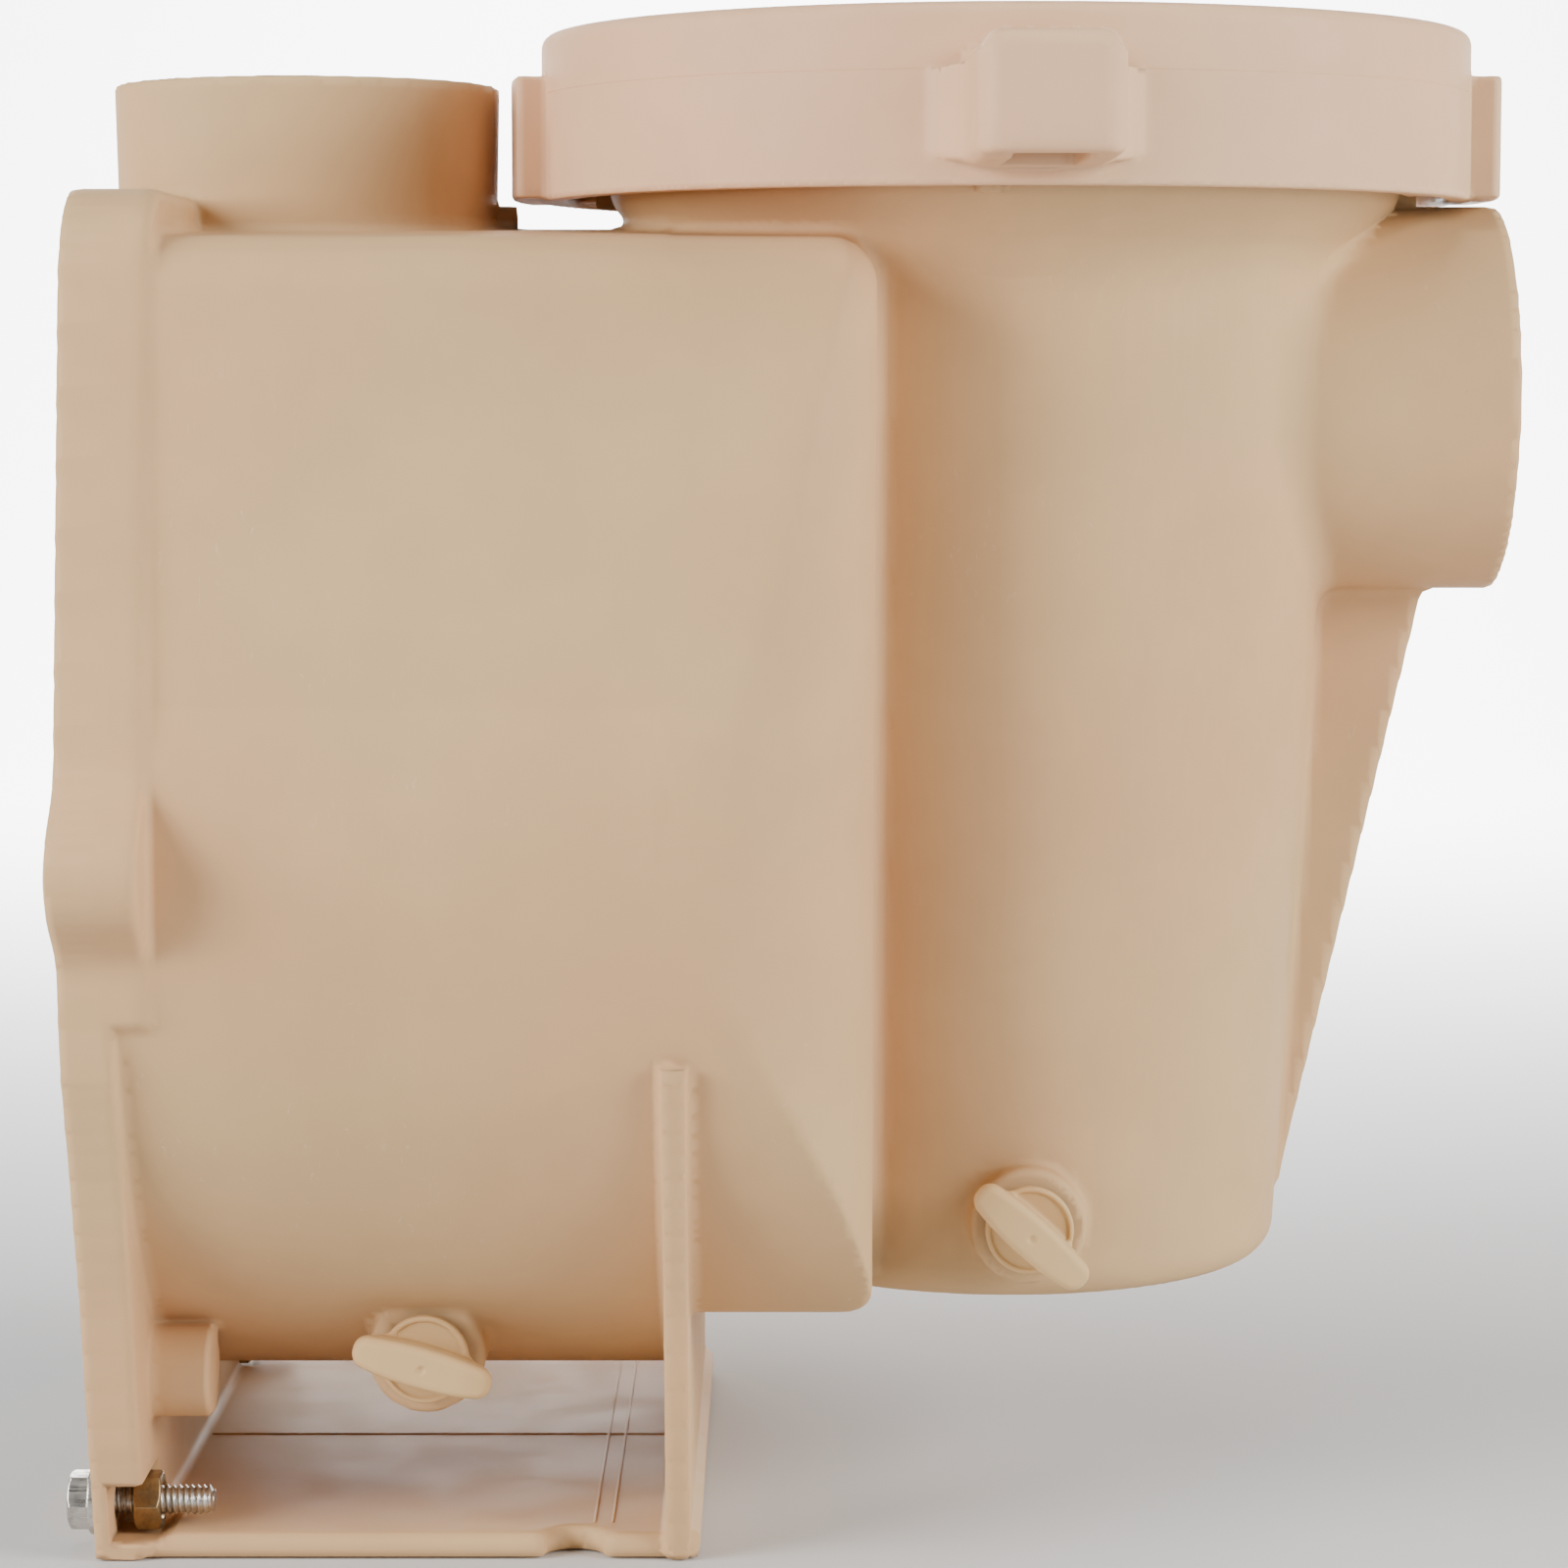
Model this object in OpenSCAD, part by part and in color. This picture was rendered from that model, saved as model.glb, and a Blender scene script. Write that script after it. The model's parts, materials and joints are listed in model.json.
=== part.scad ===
// Wet end of a swimming pool pump: a one-piece strainer pot and volute case, its clamp-ring lid,
// and the impeller, diffuser, seal plate, shaft seal and drain plugs that it holds.
// X runs along the shaft from the motor face to the suction port, Y across, and Z is up.
// Inside the modules X starts at the motor face; place() moves it to the middle of the whole unit.

/* [Case] */
// Distance from the motor face to the suction port face
case_l = 298.5; // [296:0.5:301]
// Height of the shaft axis above the underside of the foot
shaft_z = 146; // [145:0.5:147]
// Outer radius of the volute around the shaft
volute_r = 120.7; // [119.5:0.1:121]
// Height of the volute roof
roof_z = 275.5; // [274:0.5:276]
// Wall thickness of the volute
case_wall = 8; // [7:0.5:9]
// Distance from the motor face to the end wall of the volute
volute_end = 118; // [117:0.5:119]

/* [Strainer pot] */
// Distance from the motor face to the pot axis
pot_x = 190.6; // [190:0.2:191]
// Outer radius of the pot near its foot
pot_low_r = 61.3; // [61:0.1:62]
// Outer radius of the pot under its collar
pot_top_r = 72.2; // [71.5:0.1:72.5]
// Height of the underside of the pot
pot_z = 49; // [48:0.5:50]
// Height of the top face that the lid seal sits on
lip_z = 301.5; // [301:0.25:302]
// Wall thickness of the pot
pot_wall = 5.5; // [5:0.25:6]

/* [Ports] */
// Distance from the motor face to the discharge port axis
discharge_x = 38; // [37.5:0.25:38.5]
// Height of the discharge port rim
discharge_top = 306.4; // [305:0.2:308]
// Height of the suction port axis
suction_z = 238.5; // [238:0.25:239]
// Outer radius of both port collars
port_r = 41.9; // [41.5:0.1:42]
// Radius of the threaded wall inside each port
port_bore_r = 29.2; // [29:0.1:29.4]
// Depth of the threaded wall inside each port
port_depth = 26; // [22:1:27]
// Radius of the waterway behind each port
waterway_r = 26; // [24:0.5:27]

/* [Flange and foot] */
// Thickness of the motor flange above the foot
flange_t = 18; // [17:0.5:19]
// Thickness of the lower part of the flange
apron_t = 9; // [8.5:0.25:9.5]
// Half the depth of the foot across the shaft
foot_hw = 84.5; // [83:0.5:86]
// Thickness of the foot plate
foot_t = 5; // [4:0.5:5.5]
// Radius of the half-round hold-down notches
notch_r = 6.3; // [5.5:0.1:7]

/* [Clamp ring and lid] */
// Outer radius of the clamp ring
ring_r = 101.2; // [100.5:0.1:101.5]
// Height of the lower rim of the ring
ring_z0 = 281.1; // [281:0.1:281.5]
// Height of the top of the ring
ring_z1 = 317; // [316.5:0.5:318]
// Distance from the pot axis to a handle tip
handle_reach = 146.5; // [140:0.5:148]
// Width of a handle at its tip
handle_w = 28.2; // [26:0.2:30]
// Angle of the handles from the crosswise direction
handle_lead = 0.8; // [0:0.1:2]

/* [Drain plugs] */
// Radius of the threaded shank
plug_r = 6.8; // [6.6:0.05:6.8]
// Length of the shank
plug_l = 14; // [12:0.5:14]
// Length of the wing
wing_l = 29.5; // [27:0.5:31]
// Thickness of the wing
wing_t = 8.6; // [8:0.2:9.2]
// Rest angle of the pot plug's wing
pot_wing_angle = -42; // [-90:1:90]
// Rest angle of the volute plug's wing
volute_wing_angle = -16; // [-90:1:90]

/* [Rotor] */
// Outer radius of the impeller
impeller_r = 62; // [60:0.5:63]
// Number of impeller vanes
impeller_vanes = 6; // [5:1:7]
// Number of diffuser vanes
diffuser_vanes = 9; // [7:1:11]
// Bolt circle of the motor face
motor_pcd = 149.2; // [149:0.1:149.4]

/* [Hidden] */
$fn = 96;
eps = 0.01;
big = 400;
almond = [0.80, 0.68, 0.56];
blush = [0.86, 0.74, 0.66];
steel = [0.72, 0.72, 0.72];
brass = [0.55, 0.45, 0.25];
black = [0.10, 0.10, 0.10];

// How far a foot bolt's head and washer stand out of the motor face
bolt_head_h = 4.3;
bolt_washer_h = 2.2;
head_proud = bolt_head_h + bolt_washer_h + 0.1;
motor_x = -(case_l - head_proud) / 2;

// Volute outline: half width under the roof corner, corner radius and rise of the crown
roof_hw = 105;
roof_corner = 14;
roof_crown = 4;
flange_top = 281;

// Shoulder where the volute turns in towards the pot
shoulder_r = volute_r - 75;
shoulder_y = 75;
shoulder_top_r = 13.5;
shoulder_top_x = 147.5;
shoulder_top_y = 93;

// Pot: heights where its taper starts and ends, collar and neck
pot_taper_z0 = pot_z + 8;
pot_taper_z1 = 240;
collar_z0 = 267;
collar_z1 = 281;
neck_r = 86.3;
neck_bore_r = 78.5;
ledge_z = 275;
pot_floor_z = pot_z + 6.5;

// Bayonet lugs: pot lugs stand out, ring lugs stand in, each a quarter turn apart
lug_count = 4;
lug_arc = 32;
lug_first = 8;
pot_lug_r = 95;
pot_lug_z = 289;
pot_lug_h = 6;
ring_wall = 5.2;
ring_lug_r = 87;
ring_lug_z = 282;
ring_lug_h = 6;
lug_gap = 8;

// Flange bosses that take the seal plate bolts, as [Y, height over the shaft]
plate_holes = [[-120.5, 1], [120.5, 1], [-72, -109], [72, -109], [-89, 111], [89, 111]];
boss_r = 9.5;
boss_end = 23.5;
lobe_r = 13;
plate_recess = 8;
plate_inset = 4.2;
plate_x0 = 0.6;
plate_t = 6;
insert_l = 9;
insert_r = 4.6;
bolt_r = 3.1;
insert_bore_r = bolt_r + 0.06;

// Foot bolts, as height and distance from the centre plane
foot_bolt_z = 10;
foot_bolt_y = 74;
hex_r = 12.8 / 2;
foot_nut_x = 7.2;
foot_nut_t = 5.6;
foot_bolt_end = 23.6;
// Gap left where the moulding is cut into solids
seam = 0.1;
notch_x = 99;
rib_t = 5;
foot_end = volute_end + rib_t + 2;

// Drain bosses, as [X, Y of the face, Z]
pot_drain = [193.5, -69, 66.7];
volute_drain = [67.8, -73, 40.3];
drain_boss_r = 12.2;
drain_bore_r = plug_r + 0.07;

// Stations along the shaft
seat_x = 24.8;
hub_x = 25;
hub_r = 9.4;
back_x = 46;
vane_x = 49;
front_x = 60;
eye_x = 62.5;
diff_front_x = 63.6;
diff_front_t = 4;
diff_back_x = 43;
neck_end_x = 126;
eye_bore_r = 32.3;
eye_boss_r = 40;
diff_neck_r = eye_bore_r - 0.3;

// Points on an arc about c, from angle a0 to angle a1
function arc(c, r, a0, a1, n = 8) =
    [for (i = [0:n]) c + r * [cos(a0 + (a1 - a0) * i / n), sin(a0 + (a1 - a0) * i / n)]];
function mirrored(points) = [for (i = [len(points) - 1:-1:0]) [-points[i][0], points[i][1]]];

module place() {
    translate([motor_x, 0, 0]) children();
}

// Extrudes a Y-Z outline from x0 to x1
module slab(x0, x1) {
    translate([x0, 0, 0]) rotate([90, 0, 90]) linear_extrude(x1 - x0) children();
}

// Cylinder along X, about the line at y, z
module x_rod(x0, x1, r, y = 0, z = shaft_z) {
    translate([x0, y, z]) rotate([0, 90, 0]) cylinder(r = r, h = x1 - x0);
}

// Solid turned about the shaft from [distance along X, radius] points
module shaft_turned(points) {
    translate([0, 0, shaft_z]) rotate([0, 90, 0]) rotate_extrude() polygon([for (p = points) [p[1], p[0]]]);
}

module around_shaft(count, first = 0) {
    for (i = [0:count - 1])
        translate([0, 0, shaft_z]) rotate([first + i * 360 / count, 0, 0]) children();
}

// Hexagonal prism along X
module x_hex(x0, x1, r, y, z) {
    translate([x0, y, z]) rotate([0, 90, 0]) cylinder(r = r, h = x1 - x0, $fn = 6);
}

// Volute outline, moved in by t
module volute_2d(t = 0) {
    side = roof_z - roof_crown - roof_corner;
    right = concat([[volute_r - t, shaft_z]],
                   arc([roof_hw - roof_corner, side], roof_corner - t, 4, 86, 6));
    translate([0, shaft_z]) circle(r = volute_r - t);
    polygon(concat(right, [[0, roof_z - t]], mirrored(right)));
}

// Motor flange outline with its two bolt lobes, moved in by t
module flange_2d(t = 0) {
    right = concat([[foot_hw - t, 0], [99.5 - t, 57], [118.6 - t, 108], [120.5 - t, 166]],
                   arc([84, flange_top - 22], 22 - t, 8, 90, 8));
    polygon(concat(right, mirrored(right)));
    for (side = [-1, 1])
        translate([side * 120.5, shaft_z + 1]) circle(r = lobe_r - t);
}

// Solid of the volute, moved in by t, with its shoulders beside the pot
module volute_block(t, x0) {
    slab(x0, volute_end - t) volute_2d(t);
    intersection() {
        slab(volute_end - 20, pot_x) volute_2d(t);
        hull() {
            for (side = [-1, 1]) {
                translate([volute_end - 3, side * shoulder_y, pot_z + t])
                    cylinder(r = shoulder_r - t, h = shaft_z - pot_z - t, $fn = 48);
                translate([shoulder_top_x, side * shoulder_top_y, roof_z - t - 1])
                    cylinder(r = shoulder_top_r - t, h = 1, $fn = 48);
            }
            translate([volute_end - 20, -volute_r + t, pot_z + t])
                cube([10, 2 * (volute_r - t), roof_z - pot_z - 2 * t]);
        }
    }
}

// Outside of the pot, grown by t
module pot_outside(t = 0) {
    translate([pot_x, 0, 0]) rotate_extrude()
        polygon(concat([[0, pot_z - t]],
                       arc([pot_low_r - 8, pot_taper_z0], 8 + t, -90, 0, 6),
                       [[pot_top_r + t, pot_taper_z1], [pot_top_r + 0.4 + t, collar_z0],
                        [neck_r + t, collar_z1], [neck_r + t, lip_z], [0, lip_z]]));
}

module pot_inside() {
    translate([pot_x, 0, 0]) rotate_extrude()
        polygon([[0, pot_floor_z], [pot_low_r - pot_wall - 5, pot_floor_z],
                 [pot_low_r - pot_wall, pot_floor_z + 5], [pot_top_r - pot_wall, pot_taper_z1],
                 [pot_top_r - pot_wall + 2, ledge_z], [neck_bore_r - 3, ledge_z + eps],
                 [neck_bore_r, ledge_z + 8], [neck_bore_r, lip_z + 1], [0, lip_z + 1]]);
}

// Sector of a ring about the pot axis
module pot_sector(r0, r1, z, h, from, sweep) {
    translate([pot_x, 0, z]) rotate([0, 0, from]) rotate_extrude(angle = sweep)
        translate([r0, 0]) square([r1 - r0, h]);
}

module foot_and_rib() {
    difference() {
        union() {
            // Foot plate, and the cross rib that carries the end of the volute
            translate([0, -foot_hw + 1.5, 0]) cube([foot_end, 2 * foot_hw - 3, foot_t]);
            intersection() {
                slab(volute_end, volute_end + rib_t) flange_2d();
                translate([0, -big / 2, 0]) cube([big, big, 108]);
            }
        }
        for (side = [-1, 1])
            translate([notch_x, side * (foot_hw - 1.5), -1]) cylinder(r = notch_r, h = foot_t + 2);
    }
}

// Motor flange: thick above the foot, thin apron below
module flange() {
    slab(0, apron_t) flange_2d();
    intersection() {
        slab(0, flange_t) flange_2d();
        translate([-1, -big / 2, 116]) cube([big, big, big]);
    }
    for (h = [plate_holes[2], plate_holes[3]])
        x_rod(plate_recess, boss_end, boss_r, h[0], shaft_z + h[1]);
}

// Collar of the discharge port, cut flush with the motor face below the flange's top
module discharge_collar() {
    h = discharge_top - roof_z + 16;
    difference() {
        translate([discharge_x, 0, discharge_top - h]) cylinder(r1 = port_r - 1, r2 = port_r, h = h);
        translate([-big, -big / 2, 0]) cube([big, big, flange_top]);
    }
    // Small web at the foot of the collar, towards the pot
    translate([discharge_x + port_r - 4, -1.5, roof_z - 4]) cube([8, 3, 9]);
}

module drain_boss(at, back) {
    translate([at[0], at[1], at[2]]) rotate([-90, 0, 0]) cylinder(r = drain_boss_r, h = back);
}

// The one-piece pot and volute moulding
module case_moulding() {
    difference() {
        union() {
            difference() {
                union() {
                    volute_block(0, apron_t - 1);
                    pot_outside();
                    foot_and_rib();
                    // Discharge and suction port collars
                    discharge_collar();
                    x_rod(pot_x + 30, case_l, port_r, 0, suction_z);
                    // Gusset under the suction port
                    translate([0, 2.5, 0]) rotate([90, 0, 0]) linear_extrude(5)
                        polygon([[pot_x + 50, 62], [pot_x + 62.7, 64], [pot_x + 93.4, suction_z - port_r + 1],
                                 [pot_x + 60, suction_z - port_r + 1]]);
                    for (i = [0:lug_count - 1])
                        pot_sector(neck_r - 1, pot_lug_r, pot_lug_z, pot_lug_h,
                                   lug_first + i * 360 / lug_count, lug_arc);
                    // Stops that end the ring's turn
                    for (i = [0:lug_count - 1])
                        pot_sector(neck_r - 1, ring_lug_r + 3, collar_z1 - 1, 9,
                                   lug_first - lug_gap - 6.5 + i * 360 / lug_count, 3.5);
                    drain_boss(pot_drain, 16);
                    drain_boss(volute_drain, 22);
                }
                // Volute chamber, which the pot's wall and the eye boss close on the right
                difference() {
                    volute_block(case_wall, -1);
                    pot_outside();
                    x_rod(volute_end - 6, pot_x, eye_boss_r);
                    drain_boss(volute_drain, 18);
                }
            }
            difference() {
                flange();
                slab(apron_t - 1 - eps, volute_end) volute_2d(case_wall);
            }
            // Corner bosses inside the chamber for the two upper bolts
            for (h = [plate_holes[4], plate_holes[5]])
                x_rod(plate_recess, boss_end, boss_r, h[0], shaft_z + h[1]);
        }
        pot_inside();
        // Recess for the seal plate, and the open mouth of the chamber
        intersection() {
            slab(-1, plate_recess) flange_2d(plate_inset - 0.6);
            translate([-2, -big / 2, 24]) cube([big, big, big]);
        }
        slab(-1, plate_recess + 2) difference() {
            volute_2d(case_wall);
            for (h = [plate_holes[4], plate_holes[5]])
                translate([h[0], shaft_z + h[1]]) circle(r = boss_r);
        }
        // Eye bore for the diffuser neck
        x_rod(volute_end - 10, pot_x - 30, eye_bore_r);
        // Ports
        x_rod(pot_x + 30, case_l + 1, waterway_r, 0, suction_z);
        x_rod(case_l - port_depth, case_l + 1, port_bore_r, 0, suction_z);
        translate([discharge_x, 0, roof_z - case_wall - 8]) cylinder(r = waterway_r, h = 60);
        translate([discharge_x, 0, discharge_top - port_depth]) cylinder(r = port_bore_r, h = port_depth + 1);
        // Holes for the brass inserts
        for (h = plate_holes)
            x_rod(plate_recess - eps, plate_recess + insert_l + 0.5, insert_r + 0.05, h[0], shaft_z + h[1]);
        // Foot bolt holes and the nut pockets beside them
        for (side = [-1, 1]) {
            x_rod(-1, apron_t + 1, bolt_r + 0.3, side * foot_bolt_y, foot_bolt_z);
            translate([3.2, side < 0 ? -big : foot_bolt_y - 7.5, foot_bolt_z - 6.7])
                cube([apron_t + 2, big - foot_bolt_y + 7.5, 13.4]);
        }
        // Threaded drains
        translate([pot_drain[0], pot_drain[1] - 1, pot_drain[2]]) rotate([-90, 0, 0])
            cylinder(r = drain_bore_r, h = 24);
        translate([volute_drain[0], volute_drain[1] - 1, volute_drain[2]]) rotate([-90, 0, 0])
            cylinder(r = drain_bore_r, h = 40);
    }
}

// Zones that cut the moulding into five plain solids: flange, foot, barrel, end and pot
module beyond(x, z0 = -1, z1 = big) {
    translate([x, -big / 2, z0]) cube([big, big, z1 - z0]);
}

module flange_zone(t = 0) {
    difference() {
        union() {
            translate([-50, -big / 2, -1]) cube([50 + apron_t + t, big, big]);
            translate([-50, -big / 2, 116 - t]) cube([50 + flange_t + t, big, big]);
            for (side = [-1, 1])
                translate([-50, side * 72 - 12 - t, 26 - t])
                    cube([50 + boss_end + 0.3 + t, 24 + 2 * t, 22 + 2 * t]);
        }
        translate([discharge_x, 0, 262]) cylinder(r = port_r + 0.3 - t, h = big);
    }
}

module end_zone(t = 0) {
    difference() {
        beyond(volute_end - case_wall - t, 24.5 - t, collar_z1 - 2);
        translate([165 + t, -big / 2, -1]) cube([big, big, big]);
        pot_outside(seam - t);
        x_rod(volute_end - 7, pot_x, eye_boss_r + 0.2 - t);
    }
}

module motor_flange() {
    color(almond) place() intersection() {
        case_moulding();
        flange_zone();
    }
}

module foot() {
    color(almond) place() intersection() {
        case_moulding();
        beyond(apron_t + seam, -1, 24.5 - seam);
    }
}

module volute_barrel() {
    color(almond) place() difference() {
        case_moulding();
        flange_zone(seam);
        beyond(volute_end - case_wall - seam);
        beyond(-big / 2, -1, 24.5);
    }
}

module volute_end() {
    color(almond) place() intersection() {
        case_moulding();
        end_zone();
    }
}

module strainer_pot() {
    color(almond) place() difference() {
        intersection() {
            case_moulding();
            beyond(volute_end - case_wall, 24.5);
        }
        end_zone(seam);
    }
}

module brass_inserts() {
    color(brass) place() for (h = plate_holes) difference() {
        x_rod(plate_recess + 0.1, plate_recess + insert_l, insert_r, h[0], shaft_z + h[1]);
        x_rod(plate_recess - 1, plate_recess + insert_l + 1, insert_bore_r, h[0], shaft_z + h[1]);
    }
}

module foot_bolts() {
    color(steel) place() for (side = [-1, 1]) {
        x_hex(-head_proud, -bolt_washer_h - 0.05, hex_r, side * foot_bolt_y, foot_bolt_z);
        x_rod(-bolt_washer_h - 0.5, foot_bolt_end, bolt_r, side * foot_bolt_y, foot_bolt_z);
    }
}

module foot_washers() {
    color(steel) place() for (side = [-1, 1]) difference() {
        x_rod(-bolt_washer_h, -0.05, 7.2, side * foot_bolt_y, foot_bolt_z);
        x_rod(-bolt_washer_h - 1, 1, bolt_r + 0.2, side * foot_bolt_y, foot_bolt_z);
    }
}

module foot_nuts() {
    color(brass) place() for (side = [-1, 1]) difference() {
        x_hex(foot_nut_x, foot_nut_x + foot_nut_t, hex_r, side * foot_bolt_y, foot_bolt_z);
        x_rod(foot_nut_x - 1, foot_nut_x + foot_nut_t + 1, bolt_r + 0.06, side * foot_bolt_y, foot_bolt_z);
    }
}

module seal_plate() {
    hub_disc_r = 66;
    seal_boss_r = 27;
    color(black) place() difference() {
        union() {
            intersection() {
                slab(plate_x0, plate_x0 + plate_t) flange_2d(plate_inset);
                translate([-2, -big / 2, 25]) cube([big, big, big]);
            }
            x_rod(plate_x0, 12.5, hub_disc_r);
            x_rod(plate_x0, seat_x - 1, seal_boss_r);
            // Sleeves that stiffen the motor bolt holes
            around_shaft(4, 45)
                translate([plate_x0, motor_pcd / 2, 0]) rotate([0, 90, 0]) cylinder(r = 9.5, h = 14);
        }
        // Pilot for the motor's face and bore for its shaft
        x_rod(-1, plate_x0 + 3.5, 57.2);
        x_rod(-1, 40, 10);
        // Pocket for the stationary half of the seal
        x_rod(13, 40, 19.2);
        around_shaft(4, 45)
            translate([-1, motor_pcd / 2, 0]) rotate([0, 90, 0]) cylinder(r = 5.1, h = 20);
        // Counterbored holes for the plate bolts
        for (h = plate_holes) {
            x_rod(-1, 20, bolt_r + 0.3, h[0], shaft_z + h[1]);
            x_rod(-1, plate_x0 + 4, 7.7, h[0], shaft_z + h[1]);
        }
        // Blind holes for the diffuser screws
        around_shaft(3)
            translate([plate_x0 + 2, 78, 0]) rotate([0, 90, 0]) cylinder(r = 2.3, h = 20);
    }
}

module seal_plate_gasket() {
    color(black) place() difference() {
        intersection() {
            slab(plate_x0 + plate_t, plate_recess) flange_2d(plate_inset);
            translate([-2, -big / 2, 25]) cube([big, big, big]);
        }
        slab(0, big) difference() {
            volute_2d(case_wall);
            for (h = [plate_holes[4], plate_holes[5]])
                translate([h[0], shaft_z + h[1]]) circle(r = boss_r);
        }
        for (h = plate_holes)
            x_rod(-1, 20, insert_r + 0.4, h[0], shaft_z + h[1]);
    }
}

module plate_bolts() {
    color(steel) place() for (h = plate_holes) {
        x_hex(plate_x0 + 0.1, plate_x0 + 2.9, hex_r, h[0], shaft_z + h[1]);
        x_rod(plate_x0 + 1, plate_recess + insert_l - 1, bolt_r, h[0], shaft_z + h[1]);
    }
}

module plate_washers() {
    color(steel) place() for (h = plate_holes) difference() {
        x_rod(plate_x0 + 2.95, plate_x0 + 3.95, 7.3, h[0], shaft_z + h[1]);
        x_rod(0, 20, bolt_r + 0.2, h[0], shaft_z + h[1]);
    }
}

module seal_cup() {
    color(black) place()
        shaft_turned([[13.1, 12.5], [13.1, 19.1], [seat_x - 1, 19.1], [seat_x - 1, 15.6], [18, 15.6], [18, 12.5]]);
}

module seal_seat() {
    color("white") place()
        shaft_turned([[18.05, 10.5], [18.05, 15.5], [seat_x - 0.3, 15.5], [seat_x, 15.2], [seat_x, 10.5]]);
}

// Outline of one blade that sweeps through an angle from radius r0 to r1
function blade(r0, r1, sweep, t, n = 8) = concat(
    [for (i = [0:n]) let (r = r0 + (r1 - r0) * i / n, a = sweep * i / n) r * [cos(a), sin(a)]],
    [for (i = [n:-1:0]) let (r = r0 + (r1 - r0) * i / n, a = sweep * i / n + t * 57.3 / r) r * [cos(a), sin(a)]]);

module vane_ring(x0, x1, count, outline) {
    translate([x0, 0, shaft_z]) rotate([0, 90, 0]) for (i = [0:count - 1])
        rotate([0, 0, i * 360 / count]) linear_extrude(x1 - x0) polygon(outline);
}

module diffuser() {
    rim_r = 86;
    vane_r0 = impeller_r + 3;
    color([0.25, 0.25, 0.26]) place() difference() {
        union() {
            shaft_turned([[diff_front_x, 27.6], [diff_front_x, rim_r], [diff_front_x + diff_front_t, rim_r],
                          [diff_front_x + diff_front_t, 68], [diff_front_x + diff_front_t + 5, diff_neck_r], [neck_end_x, diff_neck_r],
                          [neck_end_x, 28], [diff_front_x + 6, 27.6]]);
            shaft_turned([[diff_back_x, vane_r0], [diff_back_x, rim_r], [diff_back_x + 4, rim_r],
                          [diff_back_x + 4, vane_r0]]);
            vane_ring(diff_back_x + 3, diff_front_x + 1, diffuser_vanes, blade(vane_r0, rim_r - 1, 30, 3));
            // Posts that hold the diffuser off the seal plate
            around_shaft(3)
                translate([plate_x0 + plate_t + 0.05, 78, 0]) rotate([0, 90, 0])
                    cylinder(r = 6, h = diff_front_x - plate_x0 - plate_t);
        }
        around_shaft(3)
            translate([0, 78, 0]) rotate([0, 90, 0]) cylinder(r = 2.4, h = 100);
        // Groove for the neck seal
        difference() {
            x_rod(117, 121, diff_neck_r + 1);
            x_rod(116, 122, diff_neck_r - 2.4);
        }
    }
}

module diffuser_oring() {
    color(black) place() translate([119, 0, shaft_z]) rotate([0, 90, 0]) rotate_extrude()
        translate([diff_neck_r - 1.05, 0]) circle(r = 1.3, $fn = 24);
}

module diffuser_screws() {
    color(steel) place() around_shaft(3) translate([0, 78, 0]) rotate([0, 90, 0]) {
        translate([0, 0, diff_front_x + diff_front_t + 0.05]) cylinder(r = 4.3, h = 2.8);
        translate([0, 0, plate_x0 + 3]) cylinder(r = 2.2, h = diff_front_x + diff_front_t - plate_x0 - 2);
    }
}

module strainer_basket() {
    base_r = 50.5;
    top_r = 63;
    floor_z = pot_floor_z + 3;
    rim_z = ledge_z + 0.3;
    shell = 2.4;
    color([0.86, 0.84, 0.79]) place() {
        difference() {
            translate([pot_x, 0, 0]) rotate_extrude()
                polygon([[0, floor_z], [base_r, floor_z], [top_r, rim_z], [73, rim_z], [74, rim_z + 3.2],
                         [top_r - shell, rim_z + 3.2], [base_r - shell, floor_z + shell], [0, floor_z + shell]]);
            // Long slots in three tiers
            for (tier = [0:2], i = [0:7])
                translate([pot_x, 0, floor_z + 12 + tier * 52]) rotate([0, 0, 11.25 + i * 22.5])
                    translate([-80, -2.4, 0]) cube([160, 4.8, 42]);
            // Window that faces the suction port
            x_rod(pot_x + 20, pot_x + 90, 28, 0, suction_z);
            // Drain holes in the floor
            for (i = [0:7])
                translate([pot_x, 0, floor_z - 1]) rotate([0, 0, i * 45]) translate([30, 0, 0])
                    cylinder(r = 4, h = shell + 2);
        }
        // Fixed bail to lift it by
        for (side = [-1, 1])
            translate([pot_x, side * 66, rim_z + 2]) cylinder(r = 3, h = 15);
        translate([pot_x, -66, rim_z + 17]) rotate([-90, 0, 0]) cylinder(r = 3, h = 132);
        for (side = [-1, 1])
            translate([pot_x, side * 66, rim_z + 17]) sphere(r = 3, $fn = 48);
    }
}

module impeller() {
    color([0.2, 0.2, 0.21]) place() difference() {
        union() {
            shaft_turned([[hub_x, 0], [hub_x, hub_r], [back_x, hub_r], [back_x, impeller_r],
                          [vane_x, impeller_r], [vane_x, 12], [vane_x + 6, hub_r], [vane_x + 6, 0]]);
            shaft_turned([[front_x, 24], [front_x, impeller_r], [eye_x, impeller_r], [eye_x + 1, 27],
                          [eye_x + 9, 27], [eye_x + 9, 23.5]]);
            vane_ring(vane_x - 1, front_x + 1, impeller_vanes, blade(24, impeller_r - 0.5, -75, 2.8));
        }
        x_rod(hub_x - 1, 40.1, 7.5);
        x_rod(hub_x, back_x + 20, bolt_r + 0.1);
    }
}

module impeller_insert() {
    color(brass) place() difference() {
        x_rod(hub_x, 40, 7.45);
        x_rod(hub_x - 1, 41, 4.95);
    }
}

module impeller_screw() {
    color(steel) place() difference() {
        union() {
            x_rod(41, vane_x + 7, bolt_r);
            x_rod(vane_x + 6.05, vane_x + 9.5, 6.2);
        }
        translate([vane_x + 8, -7, shaft_z - 0.8]) cube([3, 14, 1.6]);
    }
}

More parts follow.
